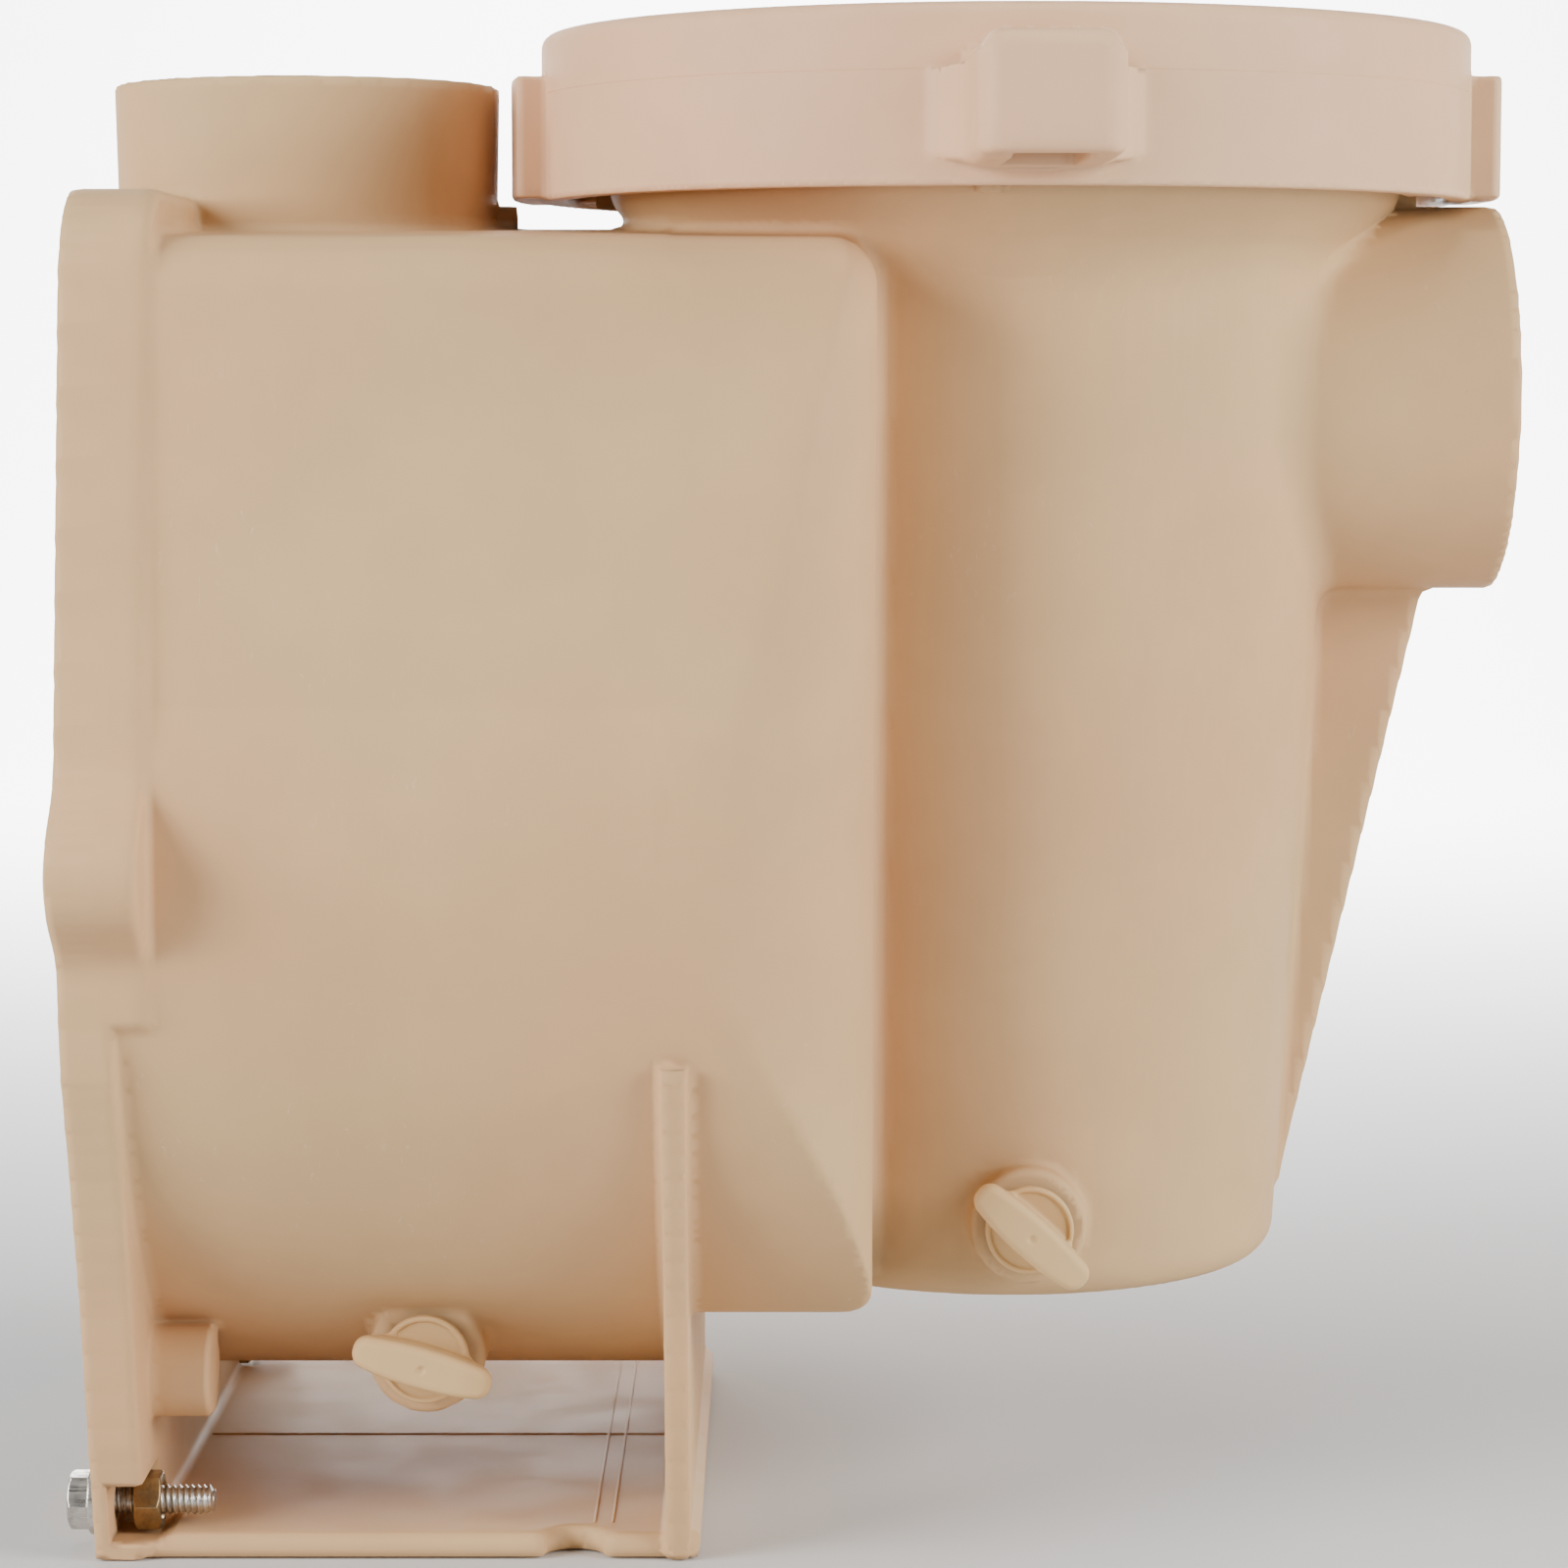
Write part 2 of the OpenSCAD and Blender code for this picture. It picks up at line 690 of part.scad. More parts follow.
module seal_carbon() {
    color(black) place()
        shaft_turned([[seat_x + 0.1, 10.2], [seat_x + 0.1, 14], [seat_x + 1.2, 14.5], [28.4, 14.5], [28.4, 10.2]]);
}

module seal_head() {
    color(steel) place()
        shaft_turned([[26.4, 14.6], [26.4, 16.4], [32, 16.4], [32, 9.6], [28.5, 9.6], [28.5, 14.6]]);
}

// Coil of round wire, swept from rings of points along a helix
module seal_spring() {
    turns = 4;
    steps = 16;
    sides = 8;
    wire_r = 0.8;
    coil_r = 13.5;
    x0 = 33;
    x1 = back_x - 0.9;
    rings = turns * steps;
    points = [for (i = [0:rings], j = [0:sides - 1])
        let (a = i * 360 / steps, b = j * 360 / sides, r = coil_r + wire_r * cos(b))
        [x0 + (x1 - x0) * i / rings + wire_r * sin(b), r * cos(a), shaft_z + r * sin(a)]];
    walls = [for (i = [0:rings - 1], j = [0:sides - 1])
        let (k = i * sides + j, n = i * sides + (j + 1) % sides) [k, k + sides, n + sides, n]];
    ends = [[for (j = [0:sides - 1]) j], [for (j = [sides - 1:-1:0]) rings * sides + j]];
    color(steel) place() polyhedron(points, concat(walls, ends));
}

module lid() {
    rim_r = 92;
    rim_z0 = lip_z + 2;
    rim_z1 = rim_z0 + 5.2;
    color([0.8, 0.85, 0.9, 0.5]) place() difference() {
        translate([pot_x, 0, 0]) rotate_extrude()
            polygon([[0, rim_z0 + 3.5], [62, rim_z0 + 1], [73, rim_z0 - 7], [77.8, rim_z0 - 7],
                     [77.8, rim_z0], [rim_r, rim_z0], [rim_r, rim_z1], [78, rim_z1], [74, rim_z1 + 1.5],
                     [40, rim_z1 + 4], [0, rim_z1 + 4.6]]);
        // Groove for the lid seal
        translate([pot_x, 0, 0]) rotate_extrude() translate([81.6, rim_z0 - 1]) square([3.6, 2.4]);
    }
}

module lid_oring() {
    color(black) place() translate([pot_x, 0, lip_z + 1.8]) rotate_extrude()
        translate([83.4, 0]) circle(r = 1.6, $fn = 24);
}

// Plan of one handle, pointing along +X, with concave flanks and a rounded tip
module handle_2d() {
    hw = handle_w / 2;
    side = concat(arc([ring_r + 15, hw + 13.5], 13.5, 180, 270, 8),
                  arc([handle_reach - 6, hw - 6], 6, 90, 0, 6));
    polygon(concat([[ring_r - 3, hw + 14]], side, [for (i = [len(side) - 1:-1:0]) [side[i][0], -side[i][1]]],
                   [[ring_r - 3, -hw - 14]]));
}

module clamp_ring() {
    handle_z0 = 284.5;
    handle_h = 23.8;
    tab_r = 107.8;
    edge = 2.5;
    color(blush) place() {
        // Skirt with a flange that presses on the lid's rim
        translate([pot_x, 0, 0]) rotate_extrude()
            polygon(concat([[ring_r - ring_wall, ring_z0], [ring_r, ring_z0]],
                           arc([ring_r - edge, ring_z1 - edge], edge, 0, 90, 5),
                           [[79, ring_z1], [78, ring_z1 - 4], [80, lip_z + 7.5],
                            [ring_r - ring_wall, lip_z + 7.5]]));
        for (i = [0:lug_count - 1])
            pot_sector(ring_lug_r, ring_r - ring_wall + 1, ring_lug_z, ring_lug_h,
                       lug_first + lug_arc + lug_gap + i * 360 / lug_count, lug_arc);
        // Handles, hollow from below
        for (turn = [-90, 90])
            translate([pot_x, 0, handle_z0]) rotate([0, 0, turn + handle_lead]) difference() {
                linear_extrude(handle_h) handle_2d();
                translate([ring_r + 5, -7.2, -1]) cube([handle_reach - ring_r - 9, 14.4, handle_h - 3]);
            }
        // Plain tabs on the other two sides
        for (turn = [-12, 168])
            pot_sector(ring_r - 1, tab_r, ring_z0 + 0.4, 26, turn, 24);
    }
}

// One winged plug pointing along -Y, with its flange seated on the boss face
module drain_plug(at, angle) {
    flange_r = 9.2;
    flange_h = 2.4;
    seat = 1.6;
    color(almond) place() translate(at) rotate([90, 0, 0]) {
        difference() {
            union() {
                translate([0, 0, -plug_l]) cylinder(r = plug_r, h = plug_l + seat + eps);
                translate([0, 0, seat]) cylinder(r = flange_r, h = flange_h);
            }
            translate([0, 0, -plug_l - 1]) cylinder(r = 3.6, h = 9);
        }
        rotate([0, 0, angle]) hull() for (side = [-1, 1]) {
            translate([side * ((wing_l - wing_t) / 2 - 3), 0, seat + flange_h - 1])
                cylinder(r = wing_t / 2 - 1, h = 1, $fn = 32);
            translate([side * (wing_l - wing_t) / 2, 0, seat + flange_h + 6])
                cylinder(r = wing_t / 2, h = 3, $fn = 32);
        }
    }
}

module drain_oring(at) {
    color(black) place() translate(at) rotate([90, 0, 0]) translate([0, 0, 0.8]) rotate_extrude()
        translate([plug_r + 0.85, 0]) circle(r = 0.75, $fn = 24);
}

module pot_drain_oring() {
    drain_oring(pot_drain);
}

module pot_drain_plug() {
    drain_plug(pot_drain, pot_wing_angle);
}

module volute_drain_oring() {
    drain_oring(volute_drain);
}

module volute_drain_plug() {
    drain_plug(volute_drain, volute_wing_angle);
}

motor_flange();
foot();
volute_barrel();
volute_end();
strainer_pot();
brass_inserts();
foot_bolts();
foot_washers();
foot_nuts();
seal_plate();
seal_plate_gasket();
plate_bolts();
plate_washers();
seal_cup();
seal_seat();
diffuser();
diffuser_oring();
diffuser_screws();
strainer_basket();
impeller();
impeller_insert();
impeller_screw();
seal_carbon();
seal_head();
seal_spring();
lid();
lid_oring();
clamp_ring();
pot_drain_oring();
pot_drain_plug();
volute_drain_oring();
volute_drain_plug();
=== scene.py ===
"""Looks for the wet end of a swimming pool pump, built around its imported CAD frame.

The shape functions give the distance to a moulded surface, negative inside the plastic. They work
in millimetres: x from the motor face, y from the middle plane, z from the underside of the foot.
skin() meshes such a shape and puts it in the frame, in metres."""

import json
import math

import bpy
import numpy as np
from bpy.props import FloatProperty, FloatVectorProperty, IntProperty, PointerProperty
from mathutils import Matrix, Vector


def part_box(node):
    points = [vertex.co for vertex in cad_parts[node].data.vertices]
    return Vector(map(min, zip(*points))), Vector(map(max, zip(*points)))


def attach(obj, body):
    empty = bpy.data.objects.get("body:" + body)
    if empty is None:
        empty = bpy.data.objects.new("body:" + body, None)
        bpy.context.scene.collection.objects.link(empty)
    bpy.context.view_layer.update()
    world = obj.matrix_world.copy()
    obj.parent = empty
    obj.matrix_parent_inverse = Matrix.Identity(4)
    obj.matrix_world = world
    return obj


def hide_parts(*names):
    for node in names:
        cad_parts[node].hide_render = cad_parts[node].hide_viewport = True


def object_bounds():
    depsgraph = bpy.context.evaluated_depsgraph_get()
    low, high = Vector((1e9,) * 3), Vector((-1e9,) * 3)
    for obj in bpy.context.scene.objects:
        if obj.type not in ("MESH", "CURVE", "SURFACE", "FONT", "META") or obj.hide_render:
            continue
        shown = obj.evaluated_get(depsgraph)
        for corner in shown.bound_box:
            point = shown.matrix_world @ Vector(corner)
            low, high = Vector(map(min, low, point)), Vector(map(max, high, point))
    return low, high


bl_info = {
    "name": "Pool pump wet end",
    "version": (1, 0, 0),
    "blender": (4, 5, 0),
    "location": "3D View > Sidebar > Wet end",
    "description": "Builds the case, clamp ring, plugs, fasteners and finishes of a pump wet end",
    "category": "Object",
}

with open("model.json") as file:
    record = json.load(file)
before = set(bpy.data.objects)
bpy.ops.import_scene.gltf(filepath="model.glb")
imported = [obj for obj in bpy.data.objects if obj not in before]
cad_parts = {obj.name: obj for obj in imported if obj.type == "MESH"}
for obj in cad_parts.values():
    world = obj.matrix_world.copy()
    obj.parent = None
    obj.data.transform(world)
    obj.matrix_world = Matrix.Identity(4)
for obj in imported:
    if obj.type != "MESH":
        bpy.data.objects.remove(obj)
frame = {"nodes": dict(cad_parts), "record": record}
NODES = frame["nodes"]
CAD_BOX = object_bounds()
MM = 1000.0
CASE_LENGTH = 298.5
MOTOR_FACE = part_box("strainer_pot")[1].x * MM - CASE_LENGTH
SHAFT_Z = 146.0
POT_X = 190.6
ROOF_Z = 275.5
LIP_Z = 301.5
VOLUTE_R = 120.7
VOLUTE_END = 118.0
CASE_WALL = 8.0
DISCHARGE_X = 38.0
DISCHARGE_TOP = 306.4
SUCTION_Z = 238.5
PORT_R = 41.9
PORT_BORE_R = 29.2
WATERWAY_R = 26.0
PORT_DEPTH = 26.0
RING_R = 101.2
RING_Z = (281.1, 317.0)
BOLT_R = 3.1
HEX_R = 6.4
FOOT_BOLT_YZ = (74.0, 10.0)
FLANGE_T = 18.0
APRON_T = 10.6
APRON_TOP_Z = 116
RECESS_X = 8
BARREL_MOUTH_X = 10
EYE_BORE_R = 32.3
# distance from the middle plane and height over the shaft
SIDE_HOLE = (120.5, 1)
LOWER_HOLE = (72, -109)
UPPER_HOLE = (89, 111)
PLATE_HOLES = [
    (side * across, up) for across, up in (SIDE_HOLE, LOWER_HOLE, UPPER_HOLE) for side in (-1, 1)
]
HOLE_BOSS_R = 9.5
HOLE_BOSS_END = 23.5
INSERT_HOLE_R = 4.65
INSERT_HOLE_DEPTH = 15.2
FOOT_T = 5
FOOT_HALF = 83
FOOT_LENGTH = 125
NOTCH_X = 99
NOTCH_R = 6.3
RIB_END = 123
RIB_TOP_Z = 108
GUSSET_HALF = 2.5
# size at the shaft's height, and how much X and Y grow and R shrinks up to the roof
SHOULDER_X = (115, 32.5)
SHOULDER_Y = (75, 18)
SHOULDER_R = (45.7, 32.2)
ROOF_FALL = 0.0437
POT_FLOOR_Z = 49
POT_TAPER_Z = (57, 240, 267)
POT_TAPER_R = (61.3, 72.2, 72.6)
FLARE_SLOPE = 0.979
FLARE_COSINE = 0.7146
LIP_R = 86.3
COLLAR_DRAFT = 46.9
COLLAR_ROOT_Z = 259.5
COLLAR_FLAT_Z = 281
SUCTION_ROOT_X = 220.6
WEB_LOW = (75.9, -1.5, 271.5)
WEB_HIGH = (83.9, 1.5, 280.5)
POT_DRAIN = (193.5, -69.0, 66.7)
VOLUTE_DRAIN = (67.8, -73.0, 40.3)
DRAIN_BOSS_R = 12.2
DRAIN_BORE_R = 6.87
DRAIN_BORE_DEPTH = 36
CASE_NODES = ("motor_flange", "foot", "volute_barrel", "volute_end", "strainer_pot")
WING_ANGLES = (-42.0, -16.0)
# inner radius, outer radius, low, high, middle angle and half angle of a set of four lugs
POT_LUGS = (85.3, 95, 289, 295, 24, 16)
POT_STOPS = (85.3, 90, 280, 289, -4.75, 1.75)
RING_LUGS = (87, 98, 282, 288, 64, 16)


# ---------------------------------------------------------------- shape arithmetic

def joined(a, b, r):
    """Union of two shapes with a fillet of radius r."""
    return np.maximum(r, np.minimum(a, b)) - np.hypot(np.maximum(r - a, 0), np.maximum(r - b, 0))


def common(a, b, r=0.0):
    """What two shapes share, with edges rounded to radius r."""
    if not np.any(r):
        return np.maximum(a, b)
    return np.minimum(-r, np.maximum(a, b)) + np.hypot(np.maximum(r + a, 0), np.maximum(r + b, 0))


def cut(a, b, r=0.0):
    """Shape a with b taken away."""
    return common(a, -b, r)


def between(value, low, high):
    """Distance outside the span from low to high."""
    return np.maximum(low - value, value - high)


def corner(a, b):
    """Distance to a square corner, negative where both a and b are."""
    return np.hypot(np.maximum(a, 0), np.maximum(b, 0)) + np.minimum(np.maximum(a, b), 0)


def brick(x, y, z, low, high, r):
    """Box with rounded edges."""
    q = [abs(v - (l + h) / 2) - (h - l) / 2 + r for v, l, h in zip((x, y, z), low, high)]
    far = np.sqrt(sum(np.maximum(d, 0) ** 2 for d in q))
    return far + np.minimum(np.maximum(np.maximum(q[0], q[1]), q[2]), 0) - r


def rod(a, b, along, start, end, radius, r=0.0):
    """Cylinder along one axis, with a and b measured from its centre line."""
    return common(np.hypot(a, b) - radius, between(along, start, end), r)


def outline_distance(points, u, v):
    """Distance from (u, v) to a closed outline, negative inside it."""
    u, v = np.broadcast_arrays(u, v)
    nearest = np.full(u.shape, 1e9, u.dtype)
    inside = np.zeros(u.shape, bool)
    for (u0, v0), (u1, v1) in zip(points, points[1:] + points[:1]):
        eu, ev = u1 - u0, v1 - v0
        wu, wv = u - u0, v - v0
        t = np.clip((wu * eu + wv * ev) / (eu * eu + ev * ev), 0, 1)
        nearest = np.minimum(nearest, (wu - eu * t) ** 2 + (wv - ev * t) ** 2)
        if v0 != v1:
            inside ^= ((v0 > v) != (v1 > v)) & (wu < eu * wv / ev)
    return np.where(inside, -1, 1) * np.sqrt(nearest)


def arc(cu, cv, radius, start, end, steps=8):
    """Points on an arc, angles in degrees."""
    turns = [math.radians(start + (end - start) * i / steps) for i in range(steps + 1)]
    return [(cu + radius * math.cos(t), cv + radius * math.sin(t)) for t in turns]


def mirrored(points):
    """The right half of an outline, followed by its left half."""
    return points + [(-u, v) for u, v in reversed(points)]


def turned(u, v, turn):
    """Distances along and across a line at an angle to u."""
    return u * math.cos(turn) + v * math.sin(turn), -u * math.sin(turn) + v * math.cos(turn)


def bayonet(x, y, z, inner, outer, low, high, middle, half):
    """Four lugs around the pot's axis, a quarter turn apart."""
    radius = np.hypot(x - POT_X, y)
    turn = np.degrees(np.arctan2(y, x - POT_X))
    off = abs((turn - middle + 45) % 90 - 45) - half
    return brick(radius, z, np.radians(off) * radius, (inner, low, -500), (outer, high, 0), 0.8)


# ---------------------------------------------------------------- case

VOLUTE_OUTLINE = mirrored([(VOLUTE_R, SHAFT_Z)] + arc(91, 257.5, 14, 4, 86, 10) + [(0.01, ROOF_Z)])
FLANGE_OUTLINE = mirrored(
    [(84.5, 0), (92.5, 27), (99.8, 57), (109, 84), (117.6, 106), (120, 122), (120.5, 166)]
    + arc(84, 259, 22, 8, 90, 10)
)
POT_INSIDE = [
    (0, 55.5), (50.8, 55.5), (55.8, 60.5), (66.7, 240), (68.7, 275), (75.5, 275.01),
    (78.5, 283), (78.5, 303), (0, 303),
]
GUSSET = [(240.6, 62), (253.3, 64), (284, 197.6), (250.6, 197.6)]
EJECTOR_TRACKS_X = (102.8, 106.6)


def volute_outline(y, z):
    barrel = np.hypot(y, z - SHAFT_Z) - VOLUTE_R
    return np.minimum(barrel, outline_distance(VOLUTE_OUTLINE, y, z))


def flange_outline(y, z):
    lobes = np.hypot(abs(y) - SIDE_HOLE[0], z - (SHAFT_Z + SIDE_HOLE[1])) - 13
    return joined(outline_distance(FLANGE_OUTLINE, y, z), lobes, 9)


def volute_block(x, y, z, inset, start):
    """Volute from start, with the two shoulders that run in beside the pot, moved in by inset."""
    rise = np.clip((z - SHAFT_Z) / (ROOF_Z - SHAFT_Z), 0, 1)
    out = x - SHOULDER_X[0] - SHOULDER_X[1] * rise
    aside = abs(y) - SHOULDER_Y[0] - SHOULDER_Y[1] * rise
    plan = corner(out, aside) - (SHOULDER_R[0] - SHOULDER_R[1] * rise - inset)
    roof = z - (ROOF_Z - ROOF_FALL * abs(y)) + inset
    shoulder = common(common(plan, POT_FLOOR_Z + inset - z, 6), roof, 10)
    ends = joined(x - (VOLUTE_END - inset), shoulder, 2)
    return np.maximum(common(ends, volute_outline(y, z) + inset, 0.8), start - x)


def pot_barrel(x, y, z):
    radius = np.hypot(x - POT_X, y)
    wall = (radius - np.interp(z, POT_TAPER_Z, POT_TAPER_R)) * 0.998
    return common(wall, POT_FLOOR_Z - z, 8)


def pot_outside(x, y, z):
    radius = np.hypot(x - POT_X, y)
    flare = (radius - POT_TAPER_R[2] - (z - POT_TAPER_Z[2]) * FLARE_SLOPE) * FLARE_COSINE
    collar = common(flare, radius - LIP_R, 1.5)
    return common(joined(pot_barrel(x, y, z), collar, 5), z - LIP_Z, 0.8)


def discharge_collar(x, y, z):
    wall = np.hypot(x - DISCHARGE_X, y) - (PORT_R - (DISCHARGE_TOP - z) / COLLAR_DRAFT)
    collar = common(common(wall, z - DISCHARGE_TOP, 1.2), COLLAR_ROOT_Z - z)
    return cut(collar, np.maximum(x - 0.02, z - COLLAR_FLAT_Z))


def drain_boss(x, y, z, at, back):
    return rod(x - at[0], z - at[2], y, at[1], at[1] + back, DRAIN_BOSS_R, 1.1)


def case_shape(x, y, z):
    """The one-piece strainer pot and volute moulding."""
    low_fillet = np.clip((z - 50) * 0.5, 0.05, 4)
    foot_fillet = np.clip(z - 1, 0.05, 1.6)
    face_fillet = np.clip((x - 3) * 0.6, 0.05, 1.8)
    neck_fillet = np.clip((277 - z) * 0.6, 0.3, 5)
    pot = pot_outside(x, y, z)
    body = joined(volute_block(x, y, z, 0, 8), pot, low_fillet)
    suction = common(np.hypot(y, z - SUCTION_Z) - PORT_R, x - CASE_LENGTH, 1.2)
    body = joined(body, common(suction, SUCTION_ROOT_X - x), neck_fillet)
    gusset = common(outline_distance(GUSSET, x, z), abs(y) - GUSSET_HALF, 0.9)
    body = joined(body, gusset, 2.2)
    body = joined(body, discharge_collar(x, y, z), 2.4)
    body = np.minimum(body, brick(x, y, z, WEB_LOW, WEB_HIGH, 0.6))
    plate = brick(x, y, z, (0, -FOOT_HALF, 0), (FOOT_LENGTH, FOOT_HALF, FOOT_T), 0.9)
    for side in (-1, 1):
        plate = cut(plate, rod(x - NOTCH_X, y - side * FOOT_HALF, z, -1, 7, NOTCH_R), 0.8)
    rib = common(flange_outline(y, z), between(x, VOLUTE_END, RIB_END), 0.9)
    rib = common(rib, z - RIB_TOP_Z)
    foot = joined(plate, rib, foot_fillet)
    body = joined(body, foot, foot_fillet)
    body = np.minimum(body, bayonet(x, y, z, *POT_LUGS))
    body = np.minimum(body, bayonet(x, y, z, *POT_STOPS))
    body = joined(body, drain_boss(x, y, z, POT_DRAIN, 16), 1.6)
    body = joined(body, drain_boss(x, y, z, VOLUTE_DRAIN, 22), 1.4)

    chamber = common(volute_block(x, y, z, CASE_WALL, -1), -pot_barrel(x, y, z))
    chamber = cut(chamber, rod(y, z - SHAFT_Z, x, 112, POT_X, 40, 1))
    chamber = cut(chamber, drain_boss(x, y, z, VOLUTE_DRAIN, 18))
    body = cut(body, chamber, 0.8)

    rim = common(flange_outline(y, z), -x, 0.7)
    thick = common(common(rim, x - FLANGE_T, 2.6), APRON_TOP_Z - z, 2)
    flange = np.minimum(common(rim, x - APRON_T, 1.6), thick)
    bore = volute_outline(y, z) + CASE_WALL
    flange = cut(flange, common(bore, RECESS_X - x))
    body = joined(body, flange, face_fillet)
    for side in (-1, 1):
        off = (y - side * LOWER_HOLE[0], z - SHAFT_Z - LOWER_HOLE[1])
        body = joined(body, rod(*off, x, 4, HOLE_BOSS_END, HOLE_BOSS_R, 1.2), 1.5)
        off = (y - side * UPPER_HOLE[0], z - SHAFT_Z - UPPER_HOLE[1])
        body = np.minimum(body, rod(*off, x, RECESS_X, HOLE_BOSS_END, HOLE_BOSS_R, 0.8))

    body = cut(body, outline_distance(POT_INSIDE, np.hypot(x - POT_X, y), z), 0.8)
    recess = common(flange_outline(y, z) + 3.6, 24 - z, 1)
    body = cut(body, common(recess, x - RECESS_X), 0.5)
    mouth = bore
    for side in (-1, 1):
        off = np.hypot(y - side * UPPER_HOLE[0], z - SHAFT_Z - UPPER_HOLE[1])
        mouth = cut(mouth, off - HOLE_BOSS_R)
    body = cut(body, common(mouth, x - BARREL_MOUTH_X), 0.3)
    body = cut(body, rod(y, z - SHAFT_Z, x, 108, POT_X - 30, EYE_BORE_R), 0.8)
    suction_way = np.hypot(y, z - SUCTION_Z)
    body = cut(body, common(suction_way - WATERWAY_R, POT_X + 30 - x), 0.8)
    body = cut(body, common(suction_way - PORT_BORE_R, CASE_LENGTH - PORT_DEPTH - x), 1)
    discharge_way = np.hypot(x - DISCHARGE_X, y)
    body = cut(body, common(discharge_way - WATERWAY_R, ROOF_Z - CASE_WALL - 8 - z), 0.8)
    body = cut(body, common(discharge_way - PORT_BORE_R, DISCHARGE_TOP - PORT_DEPTH - z), 1)
    for across, up in PLATE_HOLES:
        off = (y - across, z - SHAFT_Z - up)
        body = cut(body, rod(*off, x, 0, INSERT_HOLE_DEPTH, INSERT_HOLE_R), 0.2)
    for side in (-1, 1):
        bolt_y = side * FOOT_BOLT_YZ[0]
        body = cut(body, rod(y - bolt_y, z - FOOT_BOLT_YZ[1], x, -5, 10, BOLT_R + 0.3), 0.2)
        pocket = common(66.5 - side * y, between(z, 3.3, 16.7), 0.6)
        body = cut(body, common(pocket, between(x, 3.2, 14)), 0.5)
    for at in (POT_DRAIN, VOLUTE_DRAIN):
        ends = (at[1] - 3, at[1] + DRAIN_BORE_DEPTH)
        body = cut(body, rod(x - at[0], z - at[2], y, *ends, DRAIN_BORE_R), 0.6)
    return body


def mould_lines(x, y, z):
    """Parting line along the foot's floor and the two ejector tracks across it."""
    root = FOOT_T - 0.7
    lines = brick(x, y, z, (13, -0.4, root), (118.5, 0.4, 5.3), 0.25)
    for at in EJECTOR_TRACKS_X:
        track = brick(x, y, z, (at - 0.35, -74, root), (at + 0.35, 82, 5.25), 0.2)
        lines = np.minimum(lines, track)
    return lines


# ---------------------------------------------------------------- clamp ring

RING_PROFILE = (
    [(96, 279), (RING_R, 279)]
    + arc(RING_R - 2.8, RING_Z[1] - 2.8, 2.8, 0, 90, 6)
    + [(80, 317), (78.6, 315.6), (78.2, 313), (80, 309), (96, 309)]
)
HANDLE_SIDE = (
    [(92, 31)] + arc(112.9, 31, 16.9, 180, 270, 8) + arc(140.5, 8.1, 6, 90, 0, 6)
)
HANDLE_PLAN = HANDLE_SIDE + [(u, -v) for u, v in reversed(HANDLE_SIDE)]
HANDLE_LEAD = 0.8
HANDLE_HALF = 14.1
HANDLE_ROOT_R = 97
HANDLE_Z = (284.5, 308.3)
WING_Z = (285.5, 304.6)
POCKET_OUT = 142.5
POCKET_HALF = 7.2
POCKET_TOP_Z = 305.3
RING_LUG_LIMIT_R = 98.2
TAB_R = (98, 107.8)
TAB_Z = (281.5, 307.5)
TAB_HALF_ANGLE = 12
BEAD_OUT = 141.5
BEAD_PITCH = 4.3
BEAD_Z = 307.9


def handle_axes(x, y, side):
    """Distance out along a handle and across it; side is -1 at the front and 1 at the back."""
    return turned(x - POT_X, y, math.radians(side * 90 + HANDLE_LEAD))


def ring_shape(x, y, z):
    """Clamp ring with its two hollow handles, two tabs and four inner lugs."""
    radius = np.hypot(x - POT_X, y)
    ring = common(outline_distance(RING_PROFILE, radius, z), RING_Z[0] - z, 0.7)
    for side in (-1, 1):
        out, across = handle_axes(x, y, side)
        plan = outline_distance(HANDLE_PLAN, out, across)
        crown = HANDLE_Z[1] - np.clip(abs(across) - 9, 0, 9) ** 2 * 0.05
        bottom = HANDLE_Z[0] + np.clip(out - 136, 0, 12) * 0.16
        block = common(common(plan, z - crown, 3.2), bottom - z, 2.2)
        aside = np.clip(abs(across) - 14, 0, 14)
        flank = np.maximum(plan, z - (WING_Z[1] - aside * 0.14))
        flank = common(flank, WING_Z[0] + aside * 0.1 - z, 1.5)
        core = common(block, abs(across) - HANDLE_HALF, 3.0)
        pocket = common(between(out, RING_R + 5, POCKET_OUT), abs(across) - POCKET_HALF, 1.2)
        pocket = common(pocket, z - POCKET_TOP_Z, 1)
        handle = cut(joined(core, flank, 1.5), pocket, 0.7)
        ring = joined(ring, common(handle, HANDLE_ROOT_R - radius), 0.4)
    turn = np.degrees(np.arctan2(y, x - POT_X))
    for middle in (0, 180):
        off = abs((turn - middle + 180) % 360 - 180) - TAB_HALF_ANGLE
        around = np.radians(off) * radius
        low, high = (TAB_R[0], TAB_Z[0], -300), (TAB_R[1], TAB_Z[1], 0)
        tab = brick(radius, z, around, low, high, 0.9)
        ring = joined(ring, tab, 0.6)
    lugs = common(bayonet(x, y, z, *RING_LUGS), radius - RING_LUG_LIMIT_R)
    return np.minimum(ring, lugs)


def bead_shape(u, v, w, turn):
    """One of the short rounded beads on top of a handle."""
    along, across = turned(u, v, turn)
    return np.sqrt(np.maximum(abs(along) - 1.6, 0) ** 2 + across**2 + (w * 1.1) ** 2) - 0.95


# ---------------------------------------------------------------- small parts

PLUG_PITCH = 1.4111
WING_REACH = 14.75
WING_TOP = 13.0
PLUG_THREAD_R = 6.35
PLUG_FLANGE_R = 9.2
PLUG_FLANGE_W = (1.6, 4.0)
PLUG_DISH_R = 8.1
THREAD_PITCH = 1.27


